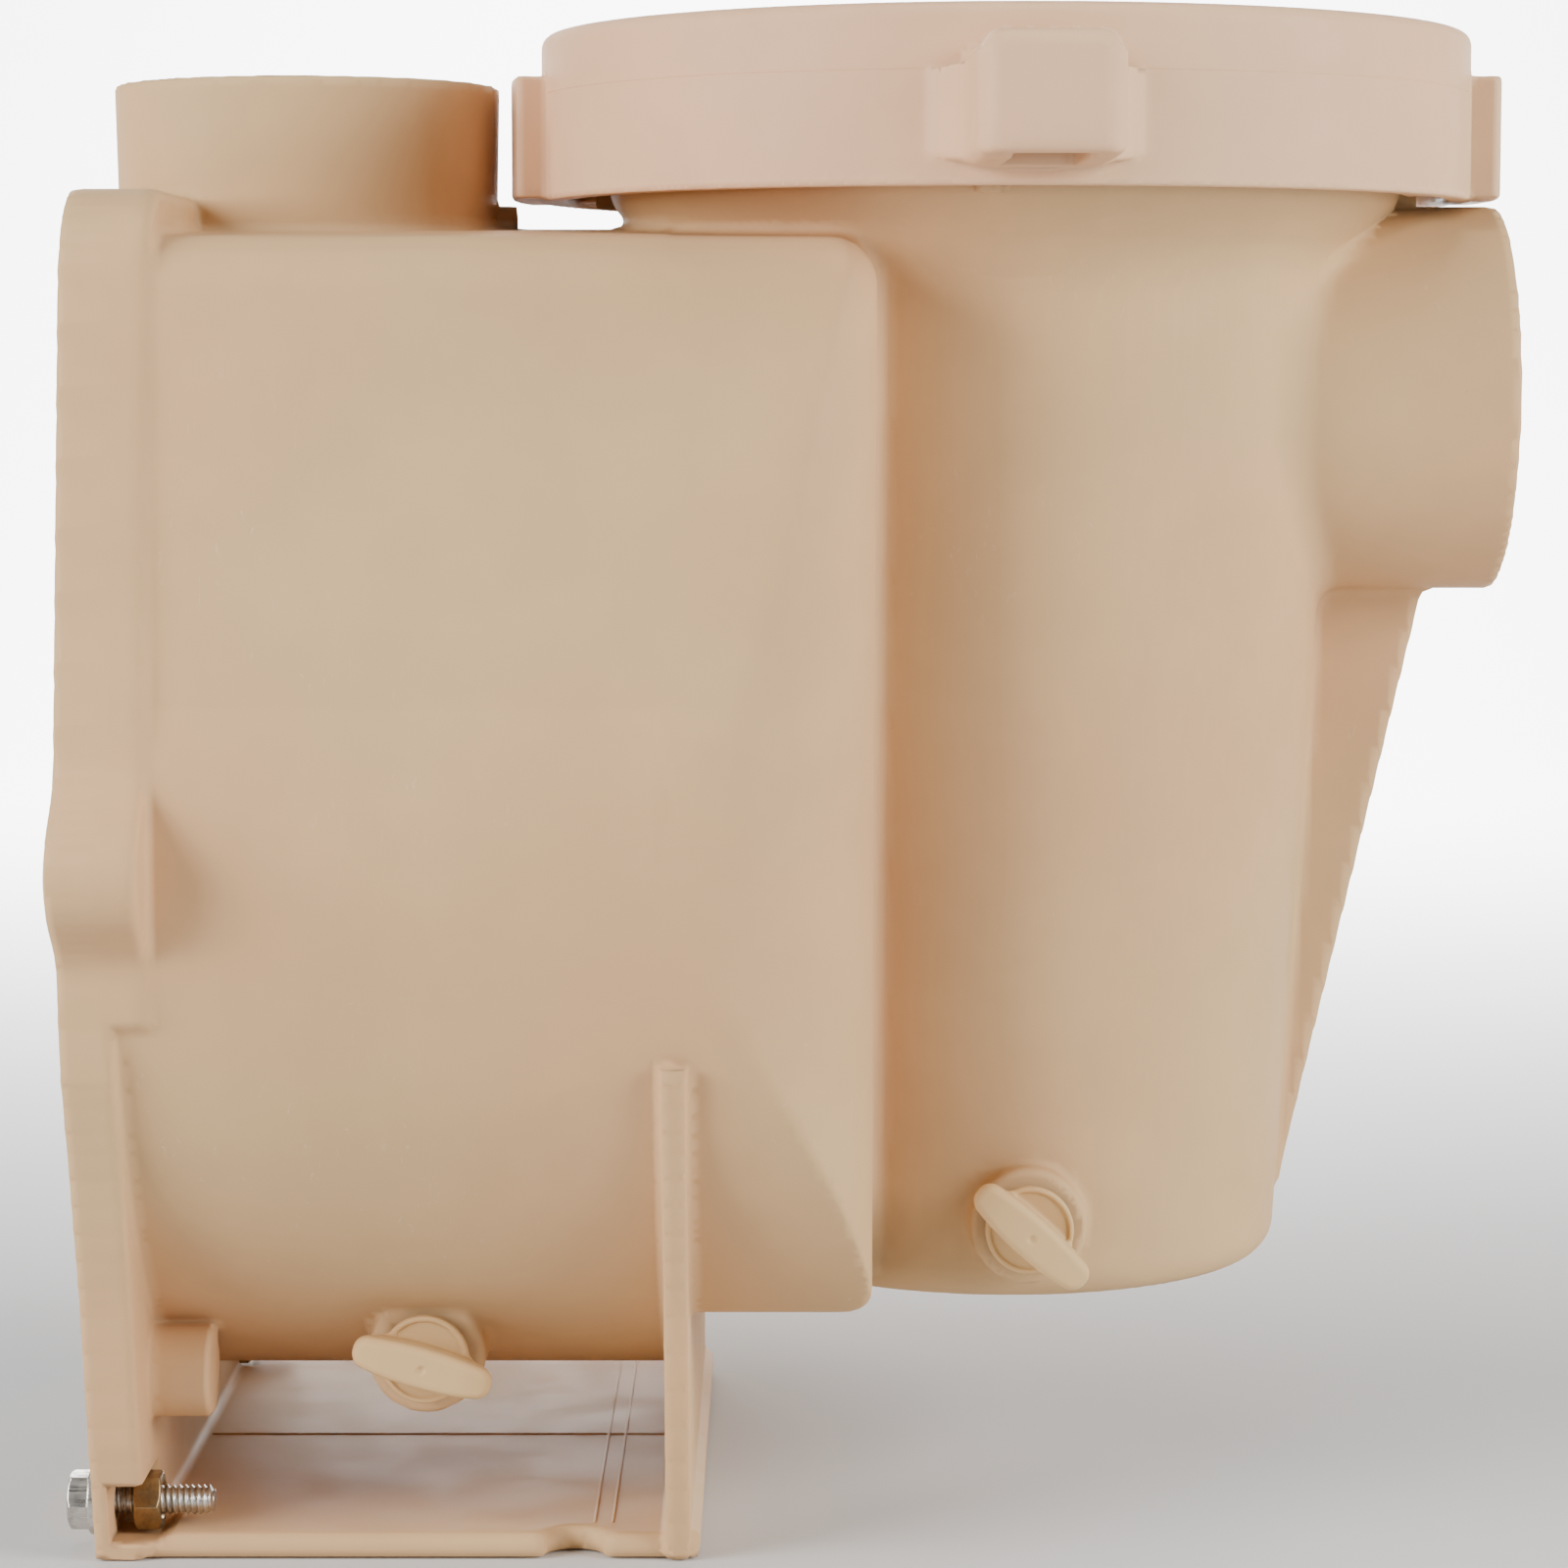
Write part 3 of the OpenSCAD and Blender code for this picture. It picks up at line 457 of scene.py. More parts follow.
def wing_plug_shape(u, v, w, angle):
    """Winged plug; w points out of the boss from its face, and the wing lies at an angle."""
    radius = np.hypot(u, v)
    phase = (w / PLUG_PITCH - np.arctan2(v, u) / (2 * math.pi)) % 1
    thread = np.minimum(PLUG_THREAD_R + 0.42 * (1 - abs(2 * phase - 1)) * 2 - 0.2, 6.8)
    shank = common((radius - thread) * 0.75, between(w, -14, 1.7), 0.3)
    shank = cut(shank, rod(u, v, w, -15, -6, 3.6), 0.4)
    flange = rod(u, v, w, *PLUG_FLANGE_W, PLUG_FLANGE_R, 0.55)
    flange = cut(flange, rod(u, v, w, 3.55, 6, PLUG_DISH_R, 0.3), 0.3)
    along, across = (abs(distance) for distance in turned(u, v, math.radians(angle)))
    half = 4.3 - 1.5 * np.clip(along / WING_REACH, 0, 1) ** 2.2
    belly = half - np.clip(9.2 - w, 0, 7) * 0.17
    reach = WING_REACH - np.clip(9.4 - w, 0, 6) * 0.62
    plan = common(across - belly, along - reach, 2.4)
    crown = WING_TOP - np.clip(along - 7, 0, 8) ** 2 * 0.02
    wing = common(common(plan, w - crown, 1.7), 3.2 - w, 0.4)
    plug = joined(joined(flange, shank, 0.2), wing, 1.4)
    gate = np.sqrt(radius**2 + (w - WING_TOP - 0.5) ** 2) - 1.0
    return cut(plug, gate, 0.25)


def hex_distance(u, v, radius):
    flats = [abs(turned(u, v, math.radians(angle))[0]) for angle in (30, 90, 150)]
    nearest = np.maximum(np.maximum(flats[0], flats[1]), flats[2])
    return nearest - radius * math.cos(math.radians(30))


def thread_radius(u, v, w, crest, depth):
    """Radius of a rolled thread around w."""
    phase = (w / THREAD_PITCH - np.arctan2(v, u) / (2 * math.pi)) % 1
    return crest - depth * np.clip(abs(2 * phase - 1) * 1.25 - 0.12, 0, 1)


def hex_bolt_shape(u, v, w, head_low, head_high, start, end):
    """Hex bolt along w, with a chamfered head and a rolled thread."""
    radius = np.hypot(u, v)
    crown = head_low + np.clip(radius - 5.35, 0, 2) * 0.55
    head = common(common(hex_distance(u, v, HEX_R), crown - w, 0.15), w - head_high, 0.1)
    crest = thread_radius(u, v, w, BOLT_R, 0.55)
    point = np.clip(w - end + 1.1, 0, 1.1) * 0.8
    shank = common((radius - crest + point) * 0.7, between(w, start, end), 0.1)
    return np.minimum(head, shank)


def hex_nut_shape(u, v, w, low, high):
    radius = np.hypot(u, v)
    bevel = np.clip(radius - 5.4, 0, 2) * 0.55
    nut = common(hex_distance(u, v, HEX_R), low + bevel - w, 0.15)
    nut = common(nut, w - high + bevel, 0.15)
    bore = radius - thread_radius(u, v, w, BOLT_R + 0.32, 0.2)
    entry = radius - (BOLT_R + 0.1 + np.maximum(low + 0.7 - w, w - high + 0.7))
    return cut(cut(nut, bore * 0.7, 0.05), entry, 0.05)


def washer_shape(u, v, w, low, high, outer, hole):
    disc = rod(u, v, w, low, high, outer, 0.25)
    return cut(disc, np.hypot(u, v) - hole, 0.15)


# low end of the head, high end of the head, start and end of the shank
FOOT_BOLT = (-6.6, -2.25, -2.6, 23.6)
PLATE_BOLT = (0.7, 3.5, 1.6, 16)
# low face, high face, outer radius and hole radius
FOOT_WASHER = (-2.2, -0.05, 7.2, 3.3)
PLATE_WASHER = (3.55, 4.55, 7.3, 3.3)
FOOT_NUT = (7.2, 12.8)  # low face and high face
SEAL_PLATE_BACK = 0.6
SEAL_PLATE_FRONT = 6.6
SEAL_DISC = (12.5, 66)  # front face and radius
SEAL_HUB = (23.8, 27)
SEAL_BORE_R = 10
SEAL_CUP_BORE = (13, 19.2)  # start and radius
MOTOR_BOLT_CIRCLE_R = 74.6
MOTOR_RABBET_R = 57.2
DIFFUSER_SCREW_CIRCLE_R = 78


def seal_plate_shape(x, y, z):
    """Seal plate with rounded edges and the stiffening ribs of its wet side."""
    radius = np.hypot(y, z - SHAFT_Z)
    edge = flange_outline(y, z) + 4.2
    sheet = between(x, SEAL_PLATE_BACK, SEAL_PLATE_FRONT)
    plate = common(common(edge, 25 - z, 1), sheet, 0.5)
    plate = joined(plate, rod(y, z - SHAFT_Z, x, SEAL_PLATE_BACK, *SEAL_DISC, 0.8), 1)
    plate = joined(plate, rod(y, z - SHAFT_Z, x, SEAL_PLATE_BACK, *SEAL_HUB, 0.6), 1.5)
    turn = np.degrees(np.arctan2(z - SHAFT_Z, y))
    around = np.radians((turn + 45) % 90 - 45) * radius
    bolt = np.hypot(around, radius - MOTOR_BOLT_CIRCLE_R)
    plate = joined(plate, common(bolt - 9.5, between(x, SEAL_PLATE_BACK, 14.6), 0.6), 1)
    plate = cut(plate, rod(y, z - SHAFT_Z, x, -1, 4.1, MOTOR_RABBET_R), 0.3)
    plate = cut(plate, rod(y, z - SHAFT_Z, x, -1, 40, SEAL_BORE_R), 0.4)
    plate = cut(plate, rod(y, z - SHAFT_Z, x, SEAL_CUP_BORE[0], 40, SEAL_CUP_BORE[1]), 0.3)
    plate = cut(plate, bolt - 5.1, 0.4)
    for across, up in PLATE_HOLES:
        hole = np.hypot(y - across, z - SHAFT_Z - up)
        plate = cut(plate, hole - 3.4, 0.2)
        plate = cut(plate, common(hole - 7.7, x - 4.6), 0.3)
    around = np.radians((turn - 90 + 60) % 120 - 60) * radius
    screw = np.hypot(around, radius - DIFFUSER_SCREW_CIRCLE_R)
    return cut(plate, common(screw - 2.3, 2.6 - x), 0.1)


# ---------------------------------------------------------------- meshing

CORNERS = np.array([(i, j, k) for i in (0, 1) for j in (0, 1) for k in (0, 1)])
MIDDLE_PULL = 0.05
CELL_SLACK = 0.1
FLAT_FROM = 0.9
FLAT_RATE = 12


def unit(vectors):
    return vectors / np.maximum(np.linalg.norm(vectors, axis=1), 1e-9)[:, None]


def slope(shape, points, step=0.02):
    """Value and gradient of a shape at points."""
    value = shape(*points.T)
    parts = []
    for axis in range(3):
        shift = np.zeros(3)
        shift[axis] = step
        ahead, behind = shape(*(points + shift).T), shape(*(points - shift).T)
        parts.append((ahead - behind) / (2 * step))
    return value, np.stack(parts, 1)


def settle(shape, points, cell):
    """Moves points onto the shape's surface."""
    value, gradient = slope(shape, points)
    steep = np.maximum((gradient**2).sum(1), 0.05)
    move = gradient * (value / steep)[:, None]
    size = np.maximum(np.linalg.norm(move, axis=1), 1e-9)
    return points - move * np.minimum(1, cell / size)[:, None]


def evened(points, quads):
    """Points moved halfway to the middle of their neighbours."""
    ends = np.concatenate([quads[:, [i, (i + 1) % 4]] for i in range(4)])
    first, second = ends.T
    size = len(points)
    count = np.bincount(first, minlength=size) + np.bincount(second, minlength=size)
    total = np.stack([
        np.bincount(first, points[second, axis], size)
        + np.bincount(second, points[first, axis], size)
        for axis in range(3)
    ], 1)
    return (points + total / np.maximum(count, 1)[:, None]) / 2


def net(shape, low, high, cell):
    """Quads of a shape's surface on a grid, with how flat and how bent it is at each point.

    Each cell's point goes where the tangent planes through the cell's edges meet, so that creases
    come out straight."""
    low = np.array(low, float)
    axes = [np.arange(a, b + cell, cell) for a, b in zip(low, high)]
    x, y, z = (a.astype(np.float32) for a in axes)
    grid = shape(x[:, None, None], y[None, :, None], z[None, None, :])
    grid = np.ascontiguousarray(np.broadcast_to(grid, [len(a) for a in axes]))
    inside = grid < 0
    last = np.array(grid.shape) - 1
    held = sum(
        inside[i:last[0] + i, j:last[1] + j, k:last[2] + k].astype(np.int8) for i, j, k in CORNERS
    )
    active = (held > 0) & (held < 8)
    cells = np.argwhere(active)
    number = np.full(active.shape, -1, np.int64)
    number[active] = np.arange(len(cells))
    quads, owners, crossings, normals = [], [], [], []
    for axis in range(3):
        step, u, v = (np.eye(3, dtype=int)[(axis + k) % 3] for k in range(3))
        here = inside.take(range(last[axis]), axis)
        changed = np.argwhere(here != inside.take(range(1, last[axis] + 1), axis))
        first, second = (grid[tuple(at.T)].astype(float) for at in (changed, changed + step))
        point = low + cell * (changed + (first / (first - second))[:, None] * step)
        around = np.stack([number[tuple((changed - s).T)] for s in (u + v, v, 0 * u, u)], 1)
        owners.append(around.T.ravel())
        crossings.append(np.tile(point, (4, 1)))
        normals.append(np.tile(unit(slope(shape, point)[1]), (4, 1)))
        flip = ~here[tuple(changed.T)]
        around[flip] = around[flip, ::-1]
        quads.append(around)
    owners, crossings, normals = (np.concatenate(part) for part in (owners, crossings, normals))

    def total(weights):
        return np.bincount(owners, weights, len(cells))

    hits = total(None)
    middle = np.stack([total(crossings[:, i]) for i in range(3)], 1) / hits[:, None]
    lean = np.stack([total(normals[:, i]) for i in range(3)], 1) / hits[:, None]
    flat = np.linalg.norm(lean, axis=1)
    reach = (normals * (crossings - middle[owners])).sum(1)
    matrix = np.empty((len(cells), 3, 3))
    for i in range(3):
        for j in range(3):
            matrix[:, i, j] = total(normals[:, i] * normals[:, j])
        matrix[:, i, i] += MIDDLE_PULL * hits
    aim = np.stack([total(normals[:, i] * reach) for i in range(3)], 1)
    move = np.linalg.solve(matrix, aim[:, :, None])[:, :, 0]
    first_corner = low + cell * cells
    slack = CELL_SLACK * cell
    points = np.clip(middle + move, first_corner - slack, first_corner + cell + slack)
    bend = sum(np.roll(grid, s, a) for a in range(3) for s in (-1, 1)) - 6 * grid
    bend = np.mean([bend[tuple((cells + c).T)] for c in CORNERS], 0) / cell**2
    return points, np.concatenate(quads), np.clip((flat - FLAT_FROM) * FLAT_RATE, 0, 1), bend


def new_mesh(name, points, faces, sides, normals=None):
    """Mesh from arrays, with every face of the same number of sides."""
    mesh = bpy.data.meshes.new(name)
    mesh.vertices.add(len(points))
    mesh.vertices.foreach_set("co", np.asarray(points, np.float32).ravel())
    mesh.loops.add(len(faces) * sides)
    mesh.loops.foreach_set("vertex_index", np.asarray(faces, np.int32).ravel())
    mesh.polygons.add(len(faces))
    starts = np.arange(0, len(faces) * sides, sides, dtype=np.int32)
    mesh.polygons.foreach_set("loop_start", starts)
    mesh.polygons.foreach_set("use_smooth", np.ones(len(faces), bool))
    mesh.update(calc_edges=True)
    if normals is not None:
        mesh.normals_split_custom_set_from_vertices(normals.tolist())
    return mesh


def in_frame(points):
    """From millimetres off the motor face to metres in the frame, kept inside the CAD's box."""
    placed = (np.asarray(points, float) + (MOTOR_FACE, 0, 0)) / MM
    return np.clip(placed, CAD_BOX[0], CAD_BOX[1])


def add_object(name, mesh):
    piece = bpy.data.objects.new(name, mesh)
    bpy.context.scene.collection.objects.link(piece)
    return piece


def skin(name, shape, low, high, cell, passes=2, place=None):
    """Meshes a shape with even quads that lie on its surface, and adds it to the scene."""
    points, quads, flat, bend = net(shape, low, high, cell)
    for _ in range(passes):
        points += (evened(points, quads) - points) * flat[:, None]
        points = settle(shape, points, cell)
    normals = unit(slope(shape, points)[1])
    if place is not None:
        points, normals = place(points, normals)
    mesh = new_mesh(name, in_frame(points), quads, 4, normals)
    # the edge attribute holds how bent the surface is; the plastic finishes turn it into paler
    # convex edges, partly wear and partly painted highlight, and painted shade in creases
    edge = mesh.attributes.new("edge", "FLOAT", "POINT")
    edge.data.foreach_set("value", np.clip(bend, -1, 1).astype(np.float32))
    return add_object(name, mesh)


def placing(at, turn):
    """Turns meshed points by the matrix turn, then moves them to at."""
    turn = np.array(turn, float)
    return lambda points, normals: (points @ turn.T + np.array(at), normals @ turn.T)


def standing_out(at):
    """Placing of a plug: u to +X, v to +Z and w to -Y."""
    return placing(at, ((1, 0, 0), (0, 0, -1), (0, 1, 0)))


def along_shaft(y, z):
    """Placing of a fastener: w to +X, u to +Y and v to +Z."""
    return placing((0, y, z), ((0, 0, 1), (1, 0, 0), (0, 1, 0)))


def merged(name, pieces):
    """Joins like pieces into one object."""
    bpy.ops.object.select_all(action="DESELECT")
    for piece in pieces:
        piece.select_set(True)
    bpy.context.view_layer.objects.active = pieces[0]
    bpy.ops.object.join()
    pieces[0].name = name
    return pieces[0]


def lathe(name, profile, centre, steps=192):
    """Turns a closed outline of (radius, height) points about an upright axis."""
    turn = np.linspace(0, 2 * math.pi, steps, endpoint=False)
    radius, height = np.array(profile).T
    points = np.stack([
        centre[0] + np.outer(np.cos(turn), radius),
        centre[1] + np.outer(np.sin(turn), radius),
        np.broadcast_to(height, (steps, len(height))),
    ], -1).reshape(-1, 3)
    i, j = np.meshgrid(np.arange(steps), np.arange(len(profile)), indexing="ij")
    ahead, along = (i + 1) % steps, (j + 1) % len(profile)
    n = len(profile)
    faces = np.stack([i * n + j, ahead * n + j, ahead * n + along, i * n + along], -1)
    return add_object(name, new_mesh(name, in_frame(points), faces.reshape(-1, 4), 4))


THREAD_ROOT_R = PORT_BORE_R + 0.05
THREAD_CREST_R = PORT_BORE_R - 1.2


def port_thread(name, centre, axis, face, steps=96):
    """Inside pipe thread as a ridge that winds along a port's wall, up to the port's face."""
    pitch = 25.4 / 11.5
    start, end = face - PORT_DEPTH + 1, face - 1.2
    count = int((end - start - pitch) / pitch * steps)
    points, faces = [], []
    for i in range(count + 1):
        turn = 2 * math.pi * i / steps
        fade = min(1, i / steps, (count - i) / steps)
        tip = PORT_BORE_R + (THREAD_CREST_R - PORT_BORE_R) * fade
        ridge = ((THREAD_ROOT_R, -0.46), (tip, -0.1), (tip, 0.1), (THREAD_ROOT_R, 0.46))
        for radius, along in ridge:
            a = centre[0] + radius * math.cos(turn)
            b = centre[1] + radius * math.sin(turn)
            w = start + pitch * (0.5 + i / steps + along)
            points.append((a, b, w) if axis == "z" else (w, a, b))
    for i in range(count):
        for j in range(4):
            k = (j + 1) % 4
            faces.append((4 * i + j, 4 * i + k, 4 * (i + 1) + k, 4 * (i + 1) + j))
    return add_object(name, new_mesh(name, in_frame(points), faces, 4))


# ---------------------------------------------------------------- finishes

class Finish:
    """Short hand for building a node material."""

    def __init__(self, name):
        self.material = bpy.data.materials.new(name)
        self.material.use_nodes = True
        self.nodes = self.material.node_tree.nodes
        self.links = self.material.node_tree.links
        self.shader = self.nodes["Principled BSDF"]

    def add(self, kind, inputs=None, **settings):
        node = self.nodes.new(kind)
        for key, value in settings.items():
            setattr(node, key, value)
        for key, value in (inputs or {}).items():
            if isinstance(value, bpy.types.NodeSocket):
                self.links.new(value, node.inputs[key])
            else:
                node.inputs[key].default_value = value
        return node

    def place(self, scale=(1, 1, 1)):
        """Position on the object, stretched by scale."""
        where = self.add("ShaderNodeTexCoord")
        inputs = {"Vector": where.outputs["Object"], "Scale": scale}
        return self.add("ShaderNodeMapping", inputs).outputs[0]

    def noise(self, scale, detail=2.0, roughness=0.5, stretch=(1, 1, 1), distortion=0.0):
        return self.add("ShaderNodeTexNoise", {
            "Vector": self.place(stretch), "Scale": scale, "Detail": detail,
            "Roughness": roughness, "Distortion": distortion,
        }).outputs["Fac"]

    def ramp(self, value, low, high, out_low=0.0, out_high=1.0):
        return self.add("ShaderNodeMapRange", {
            "Value": value, "From Min": low, "From Max": high,
            "To Min": out_low, "To Max": out_high,
        }, interpolation_type="SMOOTHSTEP").outputs["Result"]

    def grey(self, value):
        return self.add("ShaderNodeCombineColor", {0: value, 1: value, 2: value}).outputs[0]

    def math(self, operation, a, b):
        return self.add("ShaderNodeMath", {0: a, 1: b}, operation=operation).outputs[0]

    def mix(self, factor, a, b, blend="MIX"):
        node = self.add("ShaderNodeMix", data_type="RGBA", blend_type=blend)
        for key, value in ((0, factor), (6, a), (7, b)):
            if isinstance(value, bpy.types.NodeSocket):
                self.links.new(value, node.inputs[key])
            else:
                node.inputs[key].default_value = value
        return node.outputs[2]

    def bump(self, height, distance, strength=1.0, under=None):
        inputs = {"Height": height, "Distance": distance, "Strength": strength}
        if under is not None:
            inputs["Normal"] = under
        return self.add("ShaderNodeBump", inputs).outputs["Normal"]

    def set(self, **inputs):
        for key, value in inputs.items():
            socket = self.shader.inputs[key.replace("_", " ")]
            if isinstance(value, bpy.types.NodeSocket):
                self.links.new(value, socket)
            else:
                socket.default_value = value


def rgba(colour, gain=1.0):
    return (*[min(1, max(0, c * gain)) for c in colour], 1.0)


def moulded_plastic(name, colour, grain=1.0, chalk=0.5, sheen=0.56):
    """Satin moulded plastic: drifting tint, chalky flow marks, fine grain, paler convex edges that
    are partly wear and partly painted highlight, and painted shade in creases.
    """
    f = Finish(name)
    warm = rgba((colour[0] * 1.02, colour[1] * 0.965, colour[2] * 0.95))
    cool = rgba((colour[0] * 0.985, colour[1] * 1.02, colour[2] * 1.0))
    tint = f.mix(f.ramp(f.noise(9, 1.5), 0.35, 0.65), warm, cool)
    cloud = f.ramp(f.noise(38, 3, 0.6), 0.3, 0.75, 0.97, 1.03)
    tint = f.mix(1.0, tint, f.grey(cloud), "MULTIPLY")
    streak = f.ramp(f.noise(420, 4, 0.75, (1, 1, 0.32), 1.5), 0.6, 0.78)
    patch = f.ramp(f.noise(16, 2, 0.5), 0.52, 0.68)
    marks = f.math("MULTIPLY", f.math("MULTIPLY", streak, patch), chalk)
    tint = f.mix(marks, tint, rgba(tuple(c * 0.9 + 0.16 for c in colour)))
    specks = f.ramp(f.noise(900, 2, 0.6), 0.76, 0.82)
    where = f.ramp(f.noise(22, 1), 0.5, 0.62)
    specks = f.math("MULTIPLY", specks, f.math("MULTIPLY", where, 0.25))
    tint = f.mix(specks, tint, rgba(colour, 0.55))
    bend = f.add("ShaderNodeAttribute", attribute_name="edge").outputs["Fac"]
    # paler convex edges from the edge attribute: partly real edge wear, partly painted highlight
    tint = f.mix(f.ramp(bend, 0.12, 0.6, 0, 0.15), tint, rgba(colour, 1.22))
    # darker concave creases and recesses from the edge attribute: painted shade
    tint = f.mix(f.ramp(bend, -0.12, -0.6, 0, 0.2), tint, rgba(colour, 0.74))
    rough = f.ramp(f.noise(60, 3, 0.6), 0.3, 0.7, sheen - 0.04, sheen + 0.07)
    rough = f.math("ADD", rough, f.math("MULTIPLY", marks, 0.2))
    fine = f.bump(f.noise(2600, 3, 0.6), 0.00006, 0.35 * grain)
    wavy = f.bump(f.noise(130, 2, 0.5), 0.00025, 0.22 * grain, fine)
    f.set(Base_Color=tint, Roughness=rough, Normal=wavy, Specular_IOR_Level=0.14)
    return f.material


def dark_plastic(name, colour, rough=0.42):
    """Glass-filled plastic with faint fibre swirls."""
    f = Finish(name)
    swirl = f.ramp(f.noise(180, 5, 0.7, (1, 0.35, 1), 2.0), 0.45, 0.75, 0, 0.5)
    tint = f.mix(swirl, rgba(colour), rgba(tuple(c * 1.7 + 0.01 for c in colour)))
    f.set(
        Base_Color=tint,
        Roughness=f.ramp(f.noise(90, 3), 0.3, 0.7, rough - 0.08, rough + 0.1),
        Normal=f.bump(f.noise(1800, 3, 0.6), 0.00006, 0.4),
    )
    return f.material


def clear_plastic(name, colour):
    """Clear lid plastic with light handling scratches and a smoky tint."""
    f = Finish(name)
    scratch = f.ramp(f.noise(520, 4, 0.7, (1, 0.08, 1), 1.0), 0.66, 0.78, 0, 0.22)
    f.set(
        Base_Color=f.mix(scratch, rgba(colour), (1, 1, 1, 1)),
        Roughness=f.math("ADD", scratch, 0.06),
        Normal=f.bump(f.noise(45, 2), 0.0003, 0.15),
        Transmission_Weight=0.93,
        IOR=1.49,
    )
    return f.material


def rubber(name, colour):
    """Matt sealing rubber with a dusty bloom."""
    f = Finish(name)
    bloom = f.ramp(f.noise(240, 4, 0.7), 0.45, 0.7, 0, 0.5)
    f.set(
        Base_Color=f.mix(bloom, rgba(colour), rgba(tuple(c * 2 + 0.01 for c in colour))),
        Roughness=f.ramp(f.noise(300, 3), 0.3, 0.7, 0.55, 0.75),
        Normal=f.bump(f.noise(1500, 3), 0.00008, 0.3),
    )
    return f.material


def bare_metal(name, colour, tarnish, rough=0.3):
    """Machined metal with fine drawn lines and a dull tarnish in patches."""
    f = Finish(name)
    dull = f.ramp(f.noise(260, 4, 0.65), 0.4, 0.68)
    lines = f.noise(1500, 2, 0.6, (0.05, 1, 1))
    drawn = f.ramp(lines, 0.3, 0.7, rough - 0.06, rough + 0.08)
    f.set(
        Base_Color=f.mix(dull, rgba(colour), rgba(tarnish)),
        Roughness=f.math("ADD", drawn, f.math("MULTIPLY", dull, 0.15)),
        Normal=f.bump(lines, 0.00003, 0.4, f.bump(f.noise(700, 3), 0.00004, 0.3)),
        Metallic=1.0,
    )
    return f.material


def fired_ceramic(name, colour, rough=0.2):
    """Lapped ceramic or carbon, nearly smooth, with a fine body grain."""
    f = Finish(name)
    body = f.ramp(f.noise(1100, 3, 0.6), 0.35, 0.7, 0, 0.4)
    f.set(
        Base_Color=f.mix(body, rgba(colour), rgba(colour, 0.85)),
        Roughness=f.ramp(f.noise(400, 2), 0.3, 0.7, rough - 0.05, rough + 0.1),
        Normal=f.bump(f.noise(2200, 2), 0.00003, 0.3),
    )
    return f.material


def finish_for(slot):
    """The material of a slot, made once from the colours in the sidebar."""
    name = f"{slot}_finish"
    found = bpy.data.materials.get(name)
    if found:
        return found
    c = bpy.context.scene.wet_end_colours
    makers = {
        "case_plastic": lambda: moulded_plastic(name, c.case, 1.0, 0.9),
        "ring_plastic": lambda: moulded_plastic(name, c.ring, 0.8, 0.3, 0.47),
        "plug_plastic": lambda: moulded_plastic(name, c.plug, 0.6, 0.25, 0.42),
        "black_plastic": lambda: dark_plastic(name, c.dark),
        "grey_plastic": lambda: dark_plastic(name, c.inner_grey, 0.46),
        "basket_plastic": lambda: moulded_plastic(name, c.basket, 0.8, 0.2, 0.38),
        "clear_plastic": lambda: clear_plastic(name, c.lid),
        "rubber": lambda: rubber(name, c.rubber),
        "steel": lambda: bare_metal(name, c.steel, (0.40, 0.37, 0.32)),
        "brass": lambda: bare_metal(name, c.brass, (0.30, 0.22, 0.12), 0.34),
        "ceramic": lambda: fired_ceramic(name, c.ceramic),
        "carbon": lambda: fired_ceramic(name, c.carbon, 0.3),
    }
    return makers[slot]()


def dress(piece, slot, body, *replaced):
    """Gives a piece the finish of its slot and the body it rides on, and hides the CAD nodes it
    stands for.
    """
    piece.data.materials.clear()
    piece.data.materials.append(finish_for(slot))
    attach(piece, body)
    if replaced:
        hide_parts(*replaced)
    return piece


# ---------------------------------------------------------------- sidebar settings

def colour_property(name, description, default):
    return FloatVectorProperty(
        name=name, description=description, default=default, subtype="COLOR", size=3,
        min=0, max=1,
    )


class WetEndColours(bpy.types.PropertyGroup):
    """Colours of the finishes."""

    case: colour_property("Case", "Almond of the pot and volute moulding", (0.60, 0.385, 0.20))
    ring: colour_property("Clamp ring", "Pinker almond of the clamp ring", (0.74, 0.47, 0.285))
    plug: colour_property("Plugs", "Almond of the winged plugs", (0.64, 0.415, 0.20))
    dark: colour_property("Seal plate", "Black of the seal plate", (0.018, 0.018, 0.02))
    inner_grey: colour_property("Diffuser", "Grey of the wet inner parts", (0.06, 0.06, 0.065))
    basket: colour_property("Basket", "Off white of the strainer basket", (0.72, 0.69, 0.6))
    lid: colour_property("Lid", "Tint of the clear lid", (0.82, 0.88, 0.9))
    rubber: colour_property("Rubber", "Black of the seals", (0.012, 0.012, 0.013))
    steel: colour_property("Steel", "Stainless fasteners", (0.66, 0.64, 0.60))
    brass: colour_property("Brass", "Brown brass of the nuts and inserts", (0.46, 0.34, 0.18))
    ceramic: colour_property("Ceramic", "White of the fixed seal face", (0.8, 0.78, 0.74))
    carbon: colour_property("Carbon", "Grey black of the turning seal face", (0.03, 0.03, 0.032))
    floor: colour_property("Floor", "Pale studio sweep", (0.62, 0.62, 0.62))


